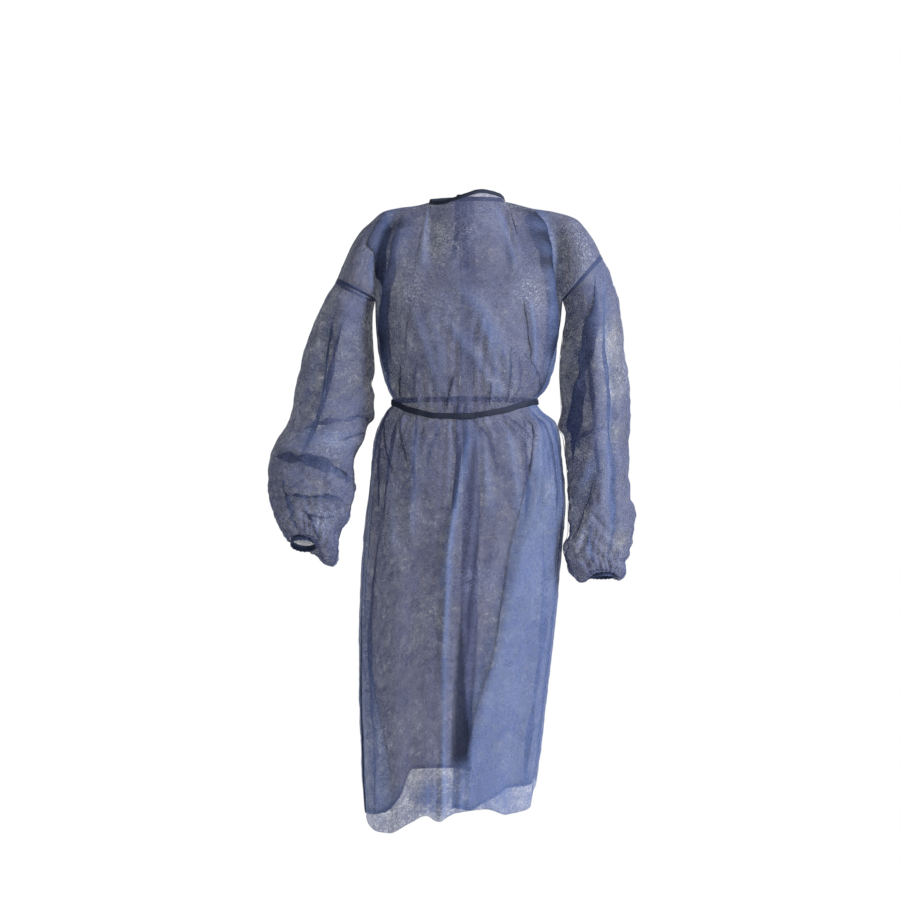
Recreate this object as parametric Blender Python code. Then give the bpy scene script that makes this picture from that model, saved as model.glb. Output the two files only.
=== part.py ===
"""A knee-length disposable isolation gown of thin nonwoven cloth, as it hangs on a wearer.

Run it with blender --background --python part.py, or from Blender's text editor.
Metres, +Z up. The front of the gown faces -Y, and +X is on the right of someone who looks at the front.
The origin is the middle of the wearer's shoulders at the root of the neck, where the gown is held up.

A point of the body cloth is named by an angle and a level. The angle runs round the wearer in degrees:
0 is the middle of the front, 90 the side at +X, 180 the middle of the back and 270 (or -90) the side at -X.
The level runs down the cloth: 0 is the neckline and shoulder seam, 1 the chest line through the armpits,
2 the belt and 3 the hem.
"""

from collections import namedtuple

import bmesh
import bpy
import numpy as np

MM = 0.001

# Cloth and seams
WALL = 1.4 * MM
SEAM_GAP = 0.9 * MM
LAP_LIFT = 3.6 * MM
BINDING_GAP = 0.6 * MM

# Heights, as drops below the shoulders
CHEST_DROP = 0.176
BELT_DROP = 0.365
HEM_DROP = 1.110

# The section of the body: a little squarer than an ellipse
SQUARENESS = 2.3

BodyRow = namedtuple("BodyRow", "drop left right front back")
BODY_ROWS = (
    BodyRow(drop=0.176, left=-0.166, right=0.180, front=-0.120, back=0.116),
    BodyRow(drop=0.231, left=-0.165, right=0.176, front=-0.122, back=0.116),
    BodyRow(drop=0.270, left=-0.161, right=0.170, front=-0.120, back=0.112),
    BodyRow(drop=0.300, left=-0.153, right=0.161, front=-0.117, back=0.107),
    BodyRow(drop=0.340, left=-0.139, right=0.147, front=-0.109, back=0.099),
    BodyRow(drop=0.365, left=-0.131, right=0.130, front=-0.101, back=0.092),
    BodyRow(drop=0.385, left=-0.145, right=0.141, front=-0.104, back=0.100),
    BodyRow(drop=0.407, left=-0.156, right=0.163, front=-0.110, back=0.115),
    BodyRow(drop=0.445, left=-0.166, right=0.173, front=-0.118, back=0.129),
    BodyRow(drop=0.546, left=-0.178, right=0.180, front=-0.130, back=0.140),
    BodyRow(drop=0.657, left=-0.187, right=0.172, front=-0.134, back=0.142),
    BodyRow(drop=0.770, left=-0.191, right=0.163, front=-0.136, back=0.143),
    BodyRow(drop=0.880, left=-0.191, right=0.152, front=-0.138, back=0.145),
    BodyRow(drop=0.990, left=-0.187, right=0.140, front=-0.140, back=0.147),
    BodyRow(drop=1.110, left=-0.183, right=0.128, front=-0.142, back=0.148),
)

# How far below the shoulders the hem hangs, round the body
HemRow = namedtuple("HemRow", "angle drop")
HEM_ROWS = (
    HemRow(-90, 1.125),
    HemRow(-68, 1.138),
    HemRow(-44, 1.142),
    HemRow(-24, 1.118),
    HemRow(-13, 1.104),
    HemRow(-6, 1.114),
    HemRow(3, 1.098),
    HemRow(20, 1.093),
    HemRow(40, 1.108),
    HemRow(56, 1.104),
    HemRow(76, 1.076),
    HemRow(90, 1.062),
    HemRow(118, 1.084),
    HemRow(146, 1.094),
    HemRow(180, 1.068),
    HemRow(205, 1.068),
    HemRow(216, 1.118),
    HemRow(230, 1.146),
    HemRow(250, 1.140),
    HemRow(270, 1.125),
)

# How much lower than that the outer back panel hangs, towards its lap
LAP_HEM_ROWS = (
    HemRow(90, 0),
    HemRow(115, 0.006),
    HemRow(137, 0.008),
    HemRow(151, 0.031),
    HemRow(160, 0.052),
    HemRow(170, 0.077),
    HemRow(187, 0.080),
)

# The belt dips at the front and rides up a little at the back
BELT_DIP = 0.028
BELT_DIP_ANGLE = -8
BELT_DIP_POWER = 2.4
BELT_RISE = 0.008
BELT_REACH = 0.095

# The shoulder seam, from the neck out over the shoulder and down the upper arm to the top of the armhole.
# The angle is measured from the middle of the front.
ShoulderRow = namedtuple("ShoulderRow", "angle x z")
SHOULDER_LEFT = (
    ShoulderRow(34, -0.066, 0.004),
    ShoulderRow(41, -0.089, -0.002),
    ShoulderRow(49, -0.120, -0.006),
    ShoulderRow(57, -0.148, -0.012),
    ShoulderRow(65, -0.174, -0.032),
    ShoulderRow(73, -0.199, -0.058),
    ShoulderRow(82, -0.222, -0.103),
    ShoulderRow(90, -0.238, -0.143),
)
SHOULDER_RIGHT = (
    ShoulderRow(34, 0.073, 0.006),
    ShoulderRow(39, 0.094, 0.001),
    ShoulderRow(46, 0.124, -0.007),
    ShoulderRow(54, 0.152, -0.011),
    ShoulderRow(62, 0.180, -0.017),
    ShoulderRow(70, 0.206, -0.027),
    ShoulderRow(77, 0.225, -0.048),
    ShoulderRow(84, 0.242, -0.074),
    ShoulderRow(90, 0.252, -0.097),
)

# The neckline: a ring round the root of the neck, uneven in height at the front
NECK_ANGLE = 34
NECK_FRONT = -0.072
NECK_BACK = 0.062
NeckRow = namedtuple("NeckRow", "angle z")
NECK_ROWS = (
    NeckRow(-34, 0.004),
    NeckRow(-26, -0.006),
    NeckRow(-15, -0.014),
    NeckRow(-3, -0.002),
    NeckRow(8, 0.012),
    NeckRow(17, 0.007),
    NeckRow(26, 0.003),
    NeckRow(34, 0.006),
)
NAPE_RISE = 0.016

# How the cloth leaves the shoulder and the neckline, and how it arrives at the chest line
SHOULDER_REACH = 0.17
NECK_REACH = 0.19
CHEST_REACH = 0.15
ARMHOLE_DEPTH = 0.078
ARMHOLE_BLEND_FROM = 58

# The two back panels lap over each other; the one at +X lies outside.
# half is half the width of the lap, and shift how far its middle lies towards +X, in degrees
LapRow = namedtuple("LapRow", "level half shift")
LAP_ROWS = (
    LapRow(0, 8, 0),
    LapRow(1, 10, 0),
    LapRow(2, 11, 0),
    LapRow(2.32, 7, 1.5),
    LapRow(2.50, 5, 6),
    LapRow(2.60, 5, 6.5),
    LapRow(3, 6, 6.5),
)
LAP_RAMP_FROM = 150
LAP_RAMP_TO = 166

# Gathers under the belt: lift is how far a pleat stands out, in millimetres,
# and rise and fall how far it runs above and below the belt
Pleat = namedtuple("Pleat", "angle spread lift rise fall lean")
FRONT_PLEATS = (
    Pleat(-80, 4.5, 6.0, 0.07, 0.13, -30),
    Pleat(-68, 4.0, 5.0, 0.05, 0.16, -40),
    Pleat(-52, 4.0, 5.0, 0.03, 0.12, 60),
    Pleat(-36, 4.0, 4.0, 0.04, 0.13, -50),
    Pleat(-20, 4.0, 3.5, 0.03, 0.09, -40),
    Pleat(-4, 4.0, 4.0, 0.03, 0.10, -40),
    Pleat(12, 4.0, 4.5, 0.05, 0.12, 70),
    Pleat(28, 4.0, 4.5, 0.07, 0.10, 80),
    Pleat(40, 4.0, 5.0, 0.09, 0.10, -30),
    Pleat(52, 4.0, 6.5, 0.10, 0.15, -60),
    Pleat(64, 4.0, 5.5, 0.11, 0.12, 40),
    Pleat(78, 4.5, 7.0, 0.10, 0.15, 50),
)
BACK_PLEATS = 16
BACK_PLEAT_STEP = 10.6
BACK_PLEAT_LIFT = 5.0

# Long soft folds: lift is negative for a trough. Angles and levels are at the two ends
Fold = namedtuple("Fold", "name top end top_angle end_angle width lift")
FOLDS = (
    Fold("drape beside the left arm", 0.05, 1.60, -50, -86, 0.016, -15),
    Fold("chest edge beside it", 0.20, 1.55, -42, -72, 0.018, 7),
    Fold("drape beside the right arm", 0.05, 1.60, 50, 86, 0.016, -15),
    Fold("chest edge beside it", 0.15, 1.60, 42, 72, 0.018, 7),
    Fold("drape behind the left arm", 0.05, 1.50, 228, 266, 0.018, -12),
    Fold("drape behind the right arm", 0.05, 1.50, 132, 94, 0.018, -12),
    Fold("crossing drag on the chest", 0.80, 1.85, -8, 34, 0.016, 4),
    Fold("crossing drag on the chest", 1.10, 1.90, -30, -12, 0.014, 3),
    Fold("shoulder blade drape", 0.40, 1.80, 150, 158, 0.020, 5),
    Fold("shoulder blade drape", 0.40, 1.80, 212, 204, 0.020, 5),
    Fold("narrow ridge of the skirt", 2.04, 3.10, -3, -13, 0.011, 8),
    Fold("trough beside it", 2.20, 3.10, -22, -26, 0.026, -7),
    Fold("slanting fold of the skirt", 2.03, 3.05, 50, -2, 0.017, 11),
    Fold("trough under it", 2.12, 3.10, 36, -9, 0.020, -10),
    Fold("left side fold", 2.25, 3.10, -76, -52, 0.020, 8),
    Fold("left side trough", 2.25, 3.10, -62, -38, 0.022, -7),
    Fold("right hem fold", 2.45, 3.10, 60, 62, 0.018, 8),
    Fold("right hem trough", 2.50, 3.10, 44, 42, 0.020, -8),
    Fold("right side fold", 2.10, 3.10, 82, 84, 0.020, 7),
    Fold("back skirt fold", 2.10, 3.10, 112, 108, 0.022, 10),
    Fold("back skirt trough", 2.15, 3.10, 126, 124, 0.022, -9),
    Fold("back skirt fold", 2.10, 3.10, 141, 143, 0.020, 9),
    Fold("back skirt trough", 2.15, 3.10, 212, 216, 0.022, -8),
    Fold("back skirt fold", 2.10, 3.10, 227, 233, 0.022, 10),
    Fold("back skirt trough", 2.10, 3.10, 242, 250, 0.022, -9),
    Fold("back skirt fold", 2.10, 3.10, 257, 266, 0.020, 8),
)
FOLD_TAPER = 0.22

# Columns and rows of the body cloth. A shoulder is from the side seam to the neckline
SHOULDER_COLUMNS = 12
NECKLINE_COLUMNS = 16
NAPE_COLUMNS = 9
BELT_TOP = 1.967
BELT_BOTTOM = 2.0085
FRONT_LEVELS = (0, 0.13, 0.28, 0.45, 0.62, 0.80, 1, 1.18, 1.36, 1.54, 1.71, 1.84, 1.92, BELT_TOP,
                BELT_BOTTOM, 2.028, 2.06, 2.11, 2.18, 2.28, 2.40, 2.52, 2.64, 2.76, 2.88, 3)
BACK_LEVELS = (0, 0.13, 0.28, 0.45, 0.62, 0.80, 1, 1.20, 1.42, 1.62, 1.80, 1.92, BELT_TOP,
               BELT_BOTTOM, 2.028, 2.07, 2.14, 2.25, 2.40, 2.55, 2.70, 2.85, 3)

# The sleeves, as rings down the arm. wide is half the ring across, deep half of it front to back;
# roll tips the ring about Y and pitch about X, in degrees; flute is the depth of the gathers there.
# hang_right and hang_left are how far the cloth droops there at the ring's +X and -X side.
SleeveRow = namedtuple("SleeveRow", "x y z wide deep roll pitch flute hang_right hang_left")
SLEEVE_LEFT = (
    SleeveRow(-0.214, 0.003, -0.188, 0.045, 0.079, -20, 0, 0, 0, 0),
    SleeveRow(-0.227, 0.005, -0.241, 0.058, 0.076, -15, 0, 0, 0, 0),
    SleeveRow(-0.235, 0.006, -0.296, 0.068, 0.072, -10, 0, 0, 0, 0),
    SleeveRow(-0.242, 0.005, -0.352, 0.073, 0.070, -6, 2, 0, 0, 0),
    SleeveRow(-0.252, -0.002, -0.398, 0.072, 0.069, -4, 4, 0, 0, 0),
    SleeveRow(-0.268, -0.012, -0.437, 0.078, 0.070, -2, 6, 0, 0, 0),
    SleeveRow(-0.281, -0.022, -0.466, 0.077, 0.070, 0, 8, 0, 0, 0),
    SleeveRow(-0.284, -0.032, -0.496, 0.078, 0.070, 0, 10, 0, 0, 0),
    SleeveRow(-0.282, -0.045, -0.532, 0.077, 0.069, 0, 12, 0, 0, 0),
    SleeveRow(-0.281, -0.056, -0.566, 0.069, 0.063, 0, 16, 0.5, 0, 0),
    SleeveRow(-0.281, -0.067, -0.592, 0.058, 0.053, 0, 22, 1.4, 0, 0),
    SleeveRow(-0.281, -0.073, -0.607, 0.049, 0.045, -3, 26, 2.0, 10, 0),
    SleeveRow(-0.279, -0.076, -0.614, 0.046, 0.039, -4, 28, 2.4, 24, 0),
    SleeveRow(-0.280, -0.077, -0.617, 0.041, 0.034, -4, 30, 2.4, 40, 0),
    SleeveRow(-0.286, -0.078, -0.6185, 0.0335, 0.030, -3, 30, 1.8, 36, 0),
    SleeveRow(-0.292, -0.078, -0.6195, 0.0258, 0.0262, -3, 30, 1.2, 0, 0),
)
SLEEVE_RIGHT = (
    SleeveRow(0.229, 0.003, -0.166, 0.054, 0.080, 40, 0, 0, 0, 0),
    SleeveRow(0.234, 0.005, -0.214, 0.058, 0.078, 26, 0, 0, 0, 0),
    SleeveRow(0.235, 0.008, -0.268, 0.060, 0.076, 14, 0, 0, 0, 0),
    SleeveRow(0.240, 0.010, -0.324, 0.064, 0.074, 7, 2, 0, 0, 0),
    SleeveRow(0.243, 0.010, -0.380, 0.064, 0.072, 3, 3, 0, 0, 0),
    SleeveRow(0.243, 0.006, -0.435, 0.060, 0.070, 0, 4, 0, 0, 0),
    SleeveRow(0.246, 0.001, -0.491, 0.057, 0.068, 0, 5, 0, 0, 0),
    SleeveRow(0.247, -0.007, -0.538, 0.056, 0.066, 0, 6, 0, 0, 0),
    SleeveRow(0.249, -0.015, -0.572, 0.059, 0.065, 0, 8, 0, 0, 0),
    SleeveRow(0.248, -0.024, -0.604, 0.059, 0.061, 0, 10, 0.6, 0, 0),
    SleeveRow(0.2400, -0.032, -0.634, 0.0600, 0.054, 0, 12, 1.5, 0, 0),
    SleeveRow(0.2385, -0.038, -0.655, 0.0535, 0.047, 0, 12, 2.2, 0, 0),
    SleeveRow(0.2430, -0.042, -0.668, 0.0490, 0.041, 0, 12, 2.4, 10, 6),
    SleeveRow(0.2470, -0.043, -0.675, 0.0390, 0.034, 0, 12, 2.0, 14, 20),
    SleeveRow(0.2490, -0.044, -0.677, 0.0320, 0.030, 0, 12, 1.6, 10, 18),
    SleeveRow(0.2500, -0.044, -0.678, 0.0256, 0.0262, 0, 12, 1.2, 0, 0),
)
HANG_SPREAD = 62
SLEEVE_COLUMNS = 24
LONG_RING_STEP = 0.027
SLEEVE_START_GAP = 1.1 * MM
ARMPIT_CLEARANCE = 3.2 * MM

# Creases of the sleeves. turn is the angle round the sleeve and share the way down it, at the two ends
Crease = namedtuple("Crease", "name turn share end_turn end_share width lift")
CREASES_LEFT = (
    Crease("fold over the forearm", 205, 0.60, 350, 0.66, 0.014, -13),
    Crease("roll above it", 215, 0.52, 345, 0.58, 0.020, 5),
    Crease("lower fold", 235, 0.76, 340, 0.80, 0.012, -8),
    Crease("long upper-arm fold", 250, 0.08, 225, 0.52, 0.016, 6),
    Crease("trough beside it", 275, 0.10, 255, 0.52, 0.016, -6),
    Crease("elbow notch", 340, 0.42, 380, 0.46, 0.012, -8),
    Crease("elbow notch", 330, 0.30, 390, 0.34, 0.014, 6),
    Crease("fold behind the elbow", 40, 0.40, 130, 0.48, 0.016, -7),
    Crease("long back fold", 100, 0.08, 120, 0.80, 0.018, 6),
)
CREASES_RIGHT = (
    Crease("long front fold", 300, 0.05, 288, 0.88, 0.012, 7),
    Crease("trough beside it", 275, 0.10, 262, 0.60, 0.018, -9),
    Crease("slanting forearm fold", 270, 0.58, 190, 0.84, 0.014, 8),
    Crease("trough under it", 285, 0.66, 215, 0.90, 0.014, -7),
    Crease("wrist notch", 330, 0.74, 380, 0.76, 0.012, -6),
    Crease("elbow notch", 160, 0.46, 210, 0.50, 0.012, -8),
    Crease("fold behind the elbow", 60, 0.44, 140, 0.52, 0.016, -7),
    Crease("long back fold", 100, 0.08, 80, 0.80, 0.018, 6),
)

# Bands and ties
CUFF_HEIGHT = 9 * MM
CUFF_WALL = 2.2 * MM
CUFF_NEST = 0.45 * MM
BINDING_HEIGHT = 8 * MM
BINDING_WALL = 2.0 * MM
TIE_WALL = 1.2 * MM
BELT_GAP = 0.5 * MM
TAIL_WIDTH = 10 * MM
KNOT_SIZE = (20 * MM, 11 * MM, 15 * MM)
WAIST_KNOT_GAP = 0.45 * MM
NECK_KNOT_GAP = 1.5 * MM
Tail = namedtuple("Tail", "name knot aside length sway")
TAILS = (
    Tail("waist_tail_a", "waist", 6 * MM, 0.230, 12 * MM),
    Tail("waist_tail_b", "waist", -6 * MM, 0.205, -9 * MM),
    Tail("neck_tail_a", "neck", 6 * MM, 0.125, 5 * MM),
    Tail("neck_tail_b", "neck", -6 * MM, 0.105, -7 * MM),
)
TAIL_STEPS = 14
TAIL_FALL = 0.16
TAIL_GAP = 0.8 * MM
TAIL_ROW_CLEAR = 3 * MM

# Colours: cloth, elastic and ties
CLOTH_COLOUR = (0.105, 0.130, 0.270, 1)
CUFF_COLOUR = (0.050, 0.060, 0.140, 1)
TIE_COLOUR = (0.022, 0.028, 0.075, 1)


def hermite(start, leave, end, arrive, share):
    """The point at a share of the way along a curve between two points, with its direction at each."""
    s2 = share * share
    s3 = s2 * share
    return (
        (2 * s3 - 3 * s2 + 1) * start
        + (s3 - 2 * s2 + share) * leave
        + (3 * s2 - 2 * s3) * end
        + (s3 - s2) * arrive
    )


def smooth_step(low, high, value):
    """0 below low, 1 above high, and a soft rise between."""
    share = np.clip((value - low) / (high - low), 0, 1)
    return share * share * (3 - 2 * share)


def along(rows, key, column, at):
    """A smooth curve through a column of a table, read at places of its key column, with no overshoot."""
    knots = np.array([getattr(row, key) for row in rows], float)
    values = np.array([getattr(row, column) for row in rows], float)
    return through(knots, values, at)


def through(knots, values, at):
    """A smooth curve through values at rising knots, read at any places."""
    step = np.diff(knots)
    slope = np.diff(values) / step
    tangent = np.empty_like(values)
    tangent[0], tangent[-1] = slope[0], slope[-1]
    before, after = slope[:-1], slope[1:]
    same_way = before * after > 0
    mean = 2 * before * after / np.where(same_way, before + after, 1)
    tangent[1:-1] = np.where(same_way, mean, 0)
    at = np.clip(at, knots[0], knots[-1])
    k = np.clip(np.searchsorted(knots, at, side="right") - 1, 0, len(step) - 1)
    share = (at - knots[k]) / step[k]
    return hermite(values[k], tangent[k] * step[k], values[k + 1], tangent[k + 1] * step[k], share)


def xyz(x, y, z):
    """Three arrays as points."""
    return np.stack(np.broadcast_arrays(x, y, z), axis=-1)


def section_point(angle, drop):
    """A point of the body's section at a drop below the shoulders."""
    left = along(BODY_ROWS, "drop", "left", drop)
    right = along(BODY_ROWS, "drop", "right", drop)
    front = along(BODY_ROWS, "drop", "front", drop)
    back = along(BODY_ROWS, "drop", "back", drop)
    turn = np.radians(angle)
    across, ahead = np.sin(turn), -np.cos(turn)
    across = np.sign(across) * np.abs(across) ** (2 / SQUARENESS)
    ahead = np.sign(ahead) * np.abs(ahead) ** (2 / SQUARENESS)
    x = (left + right) / 2 + (right - left) / 2 * across
    y = (front + back) / 2 + (back - front) / 2 * ahead
    return xyz(x, y, -drop)


def lower_drop(level):
    """The nominal drop of a level from the chest line down."""
    to_belt = CHEST_DROP + (BELT_DROP - CHEST_DROP) * (level - 1)
    to_hem = BELT_DROP + (HEM_DROP - BELT_DROP) * (level - 2)
    return np.where(level < 2, to_belt, to_hem)


def lower_point(angle, level):
    """The body cloth from the chest line down, before its folds: the belt dips and the hem is uneven."""
    drop = lower_drop(level)
    point = section_point(angle, drop)
    front = np.maximum(np.cos(np.radians(angle - BELT_DIP_ANGLE)), 0) ** BELT_DIP_POWER
    back = np.maximum(-np.cos(np.radians(angle)), 0)
    belt = BELT_DIP * front - BELT_RISE * back
    near_belt = np.exp(-(((drop - BELT_DROP) / BELT_REACH) ** 2))
    near_belt = near_belt * smooth_step(CHEST_DROP, CHEST_DROP + BELT_REACH, drop)
    hem = along(HEM_ROWS, "angle", "drop", angle) - HEM_DROP
    down = smooth_step(2, 3, level)
    point[..., 2] -= belt * near_belt + hem * down
    return point


def is_behind(angle):
    """Whether each angle is on the back. A side seam's angle goes with the panel that the others are on."""
    return (angle > 90) | (np.mean(angle) > 90)


def top_point(folded, behind):
    """The neckline and shoulder seams, at angles from the middle of the front or of the back."""
    out = np.abs(folded)
    x, z = [
        np.where(
            folded < 0,
            along(SHOULDER_LEFT, "angle", column, out),
            along(SHOULDER_RIGHT, "angle", column, out),
        )
        for column in ("x", "z")
    ]
    left, right = SHOULDER_LEFT[0].x, SHOULDER_RIGHT[0].x
    turn = np.radians(90 * folded / NECK_ANGLE)
    neck_x = (left + right) / 2 + (right - left) / 2 * np.sin(turn)
    neck_y = np.where(behind, NECK_BACK, NECK_FRONT) * np.cos(turn)
    nape = np.array([SHOULDER_LEFT[0].z, NAPE_RISE, SHOULDER_RIGHT[0].z])
    back_z = through(np.array([-NECK_ANGLE, 0, NECK_ANGLE]), nape, folded)
    neck_z = np.where(behind, back_z, along(NECK_ROWS, "angle", "z", folded))
    in_neck = out < NECK_ANGLE
    return xyz(
        np.where(in_neck, neck_x, x), np.where(in_neck, neck_y, 0), np.where(in_neck, neck_z, z)
    )


def top_direction(folded, behind):
    """The way the cloth leaves its top edge: out over the shoulder, or down from the neckline."""
    facing = np.where(behind, 1.0, -1.0)
    over = xyz(0 * folded, facing * SHOULDER_REACH, 0)
    down = NECK_REACH * neck_direction(folded, facing)
    shoulder = smooth_step(NECK_ANGLE - 16, NECK_ANGLE + 1, np.abs(folded))[..., None]
    return down * (1 - shoulder) + over * shoulder


def neck_direction(folded, facing):
    """The way down and out from the neckline."""
    turn = np.radians(90 * folded / NECK_ANGLE)
    return xyz(0.30 * np.sin(turn), 0.42 * facing * np.abs(np.cos(turn)), -0.86)


def armhole(side):
    """The armhole ring of one side: its middle, the way from there to its +X end, and that half length."""
    rows = SHOULDER_LEFT if side < 0 else SHOULDER_RIGHT
    top = np.array([rows[-1].x, 0, rows[-1].z])
    pit = section_point(np.float64(90 * side), np.float64(CHEST_DROP))
    to_right = (top - pit) * side
    half = np.linalg.norm(to_right) / 2
    return (top + pit) / 2, to_right / (2 * half), half


def armhole_point(side, turn):
    """A point of the armhole ring. Turn 0 is its +X end, 90 its back and 270 its front."""
    middle, across, half = armhole(side)
    turn = np.radians(turn)[..., None]
    back = np.array([0, 1, 0])
    return middle + half * np.cos(turn) * across + ARMHOLE_DEPTH * np.sin(turn) * back


def yoke_point(angle, level):
    """The cloth between the top edge and the chest line, bent to end in the armholes."""
    behind = is_behind(angle)
    folded = np.where(behind, 180.0 - angle, angle)
    point = yoke_curve(folded, behind, level)
    for side in (-1, 1):
        edge = yoke_curve(np.full(folded.shape, 90.0 * side), behind, level)
        turn = 180 + 180 * level if side < 0 else 360 - 180 * level
        seam = armhole_point(side, np.where(behind, 360 - turn, turn))
        near = smooth_step(ARMHOLE_BLEND_FROM, 90, folded * side)[..., None]
        point = point + near * (seam - edge)
    return point


def yoke_curve(folded, behind, level):
    """The curve from the top edge to the chest line."""
    chest = lower_point(np.where(behind, 180.0 - folded, folded), np.ones(folded.shape))
    return hermite(
        top_point(folded, behind),
        top_direction(folded, behind),
        chest,
        np.array([0, 0, -CHEST_REACH]),
        np.asarray(level)[..., None],
    )


def fold_lift(angle, level):
    """How far the gathers and folds move the body cloth outwards."""
    lift = np.zeros(np.broadcast(angle, level).shape)
    drop = np.where(level < 1, CHEST_DROP * level, lower_drop(level))
    below = drop - BELT_DROP
    for pleat in waist_pleats():
        reach = np.where(below < 0, pleat.rise, pleat.fall)
        far = np.abs(below) / reach
        height = (0.28 + 1.9 * far) * np.exp(-1.9 * far * far)
        middle = pleat.angle + pleat.lean * np.maximum(below, 0)
        across = (angle - middle) / pleat.spread
        lift += pleat.lift * MM * height * np.exp(-(across**2))
    for fold in FOLDS:
        share = (level - fold.top) / (fold.end - fold.top)
        middle = fold.top_angle + (fold.end_angle - fold.top_angle) * share
        across = np.radians(angle - middle) * 0.15 / fold.width
        ends = smooth_step(0, FOLD_TAPER, share) * smooth_step(0, FOLD_TAPER, 1 - share)
        lift += fold.lift * MM * ends * np.exp(-(across**2))
    return lift


def waist_pleats():
    """The gathers under the belt: those of the front by table, those of the back evenly uneven."""
    pleats = list(FRONT_PLEATS)
    for k in range(BACK_PLEATS):
        uneven = np.sin(2.4 * k) * 0.3
        pleats.append(
            Pleat(
                angle=100 + BACK_PLEAT_STEP * (k + uneven),
                spread=4.0,
                lift=BACK_PLEAT_LIFT * (1 + uneven),
                rise=0.07 * (1 + uneven),
                fall=0.14 * (1 - uneven),
                lean=20 * np.cos(1.7 * k),
            )
        )
    return pleats


def outward(points):
    """Unit normals of a grid of points, from its neighbours along both ways."""
    down = np.gradient(points, axis=0)
    round_body = np.gradient(points, axis=1)
    normal = np.cross(down, round_body)
    return normal / np.maximum(np.linalg.norm(normal, axis=-1, keepdims=True), 1e-9)


def body_cloth(angle, level, lapped=False):
    """The finished middle surface of the body cloth at angles and levels, with its outward normals."""
    lower = lower_point(angle, np.maximum(level, 1))
    yoke = yoke_point(angle, np.minimum(level, 1))
    points = np.where((level < 1)[..., None], yoke, lower)
    normals = outward(points)
    lift = fold_lift(angle, level) * smooth_step(0, 0.12, level)
    if lapped:
        lift += LAP_LIFT * smooth_step(LAP_RAMP_FROM, LAP_RAMP_TO, angle)
    points = points + normals * lift[..., None]
    points[..., 1] += np.where(is_behind(angle), 0.5, -0.5) * SEAM_GAP
    if lapped:
        points[..., 2] -= along(LAP_HEM_ROWS, "angle", "drop", angle) * smooth_step(2.3, 3, level)
    return points, normals


def sleeve_rings(side):
    """The rings of a sleeve: middle, the directions across and back, and a row of numbers for each.

    The numbers are half the ring across, half of it front to back, the depth of the gathers, and how far
    the cloth droops at the ring's +X and -X side.
    """
    rows = SLEEVE_LEFT if side < 0 else SLEEVE_RIGHT
    middle, across, half = armhole(side)
    down = np.cross(across, [0, 1, 0])
    down = down * -np.sign(down[2])
    start = middle + down * SLEEVE_START_GAP + across * side * ARMPIT_CLEARANCE / 2
    middles, acrosses, backs = [start], [across], [np.array([0, 1, 0])]
    numbers = [(half - ARMPIT_CLEARANCE / 2, ARMHOLE_DEPTH, 0, 0, 0)]
    for row in rows:
        roll, pitch = np.radians(row.roll), np.radians(row.pitch)
        middles.append(np.array([row.x, row.y, row.z]))
        acrosses.append(np.array([np.cos(roll), 0, np.sin(roll)]))
        backs.append(np.array([0, np.cos(pitch), -np.sin(pitch)]))
        numbers.append((row.wide, row.deep, row.flute * MM, row.hang_right * MM, row.hang_left * MM))
    return np.array(middles), np.array(acrosses), np.array(backs), np.array(numbers)


def ring_points(middle, across, back, numbers, turn):
    """Points of a sleeve ring, or of one ring for each turn."""
    wide, deep, flute, hang_right, hang_left = np.moveaxis(numbers, -1, 0)
    angle = np.radians(turn)
    fluted = 1 + flute / deep * np.cos(SLEEVE_COLUMNS / 2 * angle)
    to_side = np.degrees(np.arccos(np.clip(np.cos(angle), -1, 1)))
    droop = hang_right * np.exp(-((to_side / HANG_SPREAD) ** 2))
    droop = droop + hang_left * np.exp(-(((180 - to_side) / HANG_SPREAD) ** 2))
    return (
        middle
        + across * (wide * fluted * np.cos(angle))[..., None]
        + back * (deep * fluted * np.sin(angle))[..., None]
        - xyz(0, 0, droop)
    )


def ring_places(side):
    """How far down the sleeve each ring lies, as a share of its length along the cloth."""
    rings = sleeve_rings(side)
    quarters = [ring_points(*rings, np.full(len(rings[0]), turn)) for turn in (0, 90, 180, 270)]
    steps = np.mean([np.linalg.norm(np.diff(q, axis=0), axis=1) for q in quarters], axis=0)
    places = np.concatenate([[0], np.cumsum(steps)])
    return places / places[-1], places[-1]


def sleeve_cloth(side, turn, share):
    """The middle surface of a sleeve at a grid of turns and shares of its length, with outward normals."""
    places, _ = ring_places(side)

    def read(values):
        columns = [through(places, values[:, k], share) for k in range(values.shape[1])]
        return np.stack(columns, axis=-1)

    points = ring_points(*[read(values) for values in sleeve_rings(side)], turn)
    wrapped = np.concatenate([points[:, -2:-1], points, points[:, 1:2]], axis=1)
    normals = -outward(wrapped)[:, 1:-1]
    lift = np.zeros_like(turn)
    for crease in CREASES_LEFT if side < 0 else CREASES_RIGHT:
        lift += crease_lift(crease, turn, share)
    return points + normals * (lift * smooth_step(0, 0.06, share))[..., None], normals


def crease_lift(crease, turn, share):
    """How far one crease moves the sleeve cloth outwards, with lengths as on a sleeve of usual size."""
    round_arm, down_arm = 0.070, 0.50
    start = np.array([np.radians(crease.turn) * round_arm, crease.share * down_arm])
    end = np.array([np.radians(crease.end_turn) * round_arm, crease.end_share * down_arm])
    way = end - start
    lift = 0
    for lap in (-360, 0, 360):
        here = np.stack([np.radians(turn + lap) * round_arm, share * down_arm], axis=-1) - start
        place = here @ way / (way @ way)
        aside = np.linalg.norm(here - np.clip(place, 0, 1)[..., None] * way, axis=-1)
        ends = smooth_step(-0.1, 0.3, place) * smooth_step(-0.1, 0.3, 1 - place)
        lift = lift + crease.lift * MM * ends * np.exp(-((aside / crease.width) ** 2))
    return lift


def fabric(name, colour):
    """A plain matt cloth."""
    material = bpy.data.materials.new(name)
    material.use_nodes = True
    shader = material.node_tree.nodes["Principled BSDF"]
    shader.inputs["Base Color"].default_value = colour
    shader.inputs["Roughness"].default_value = 0.75
    shader.inputs["Metallic"].default_value = 0.0
    return material


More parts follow.
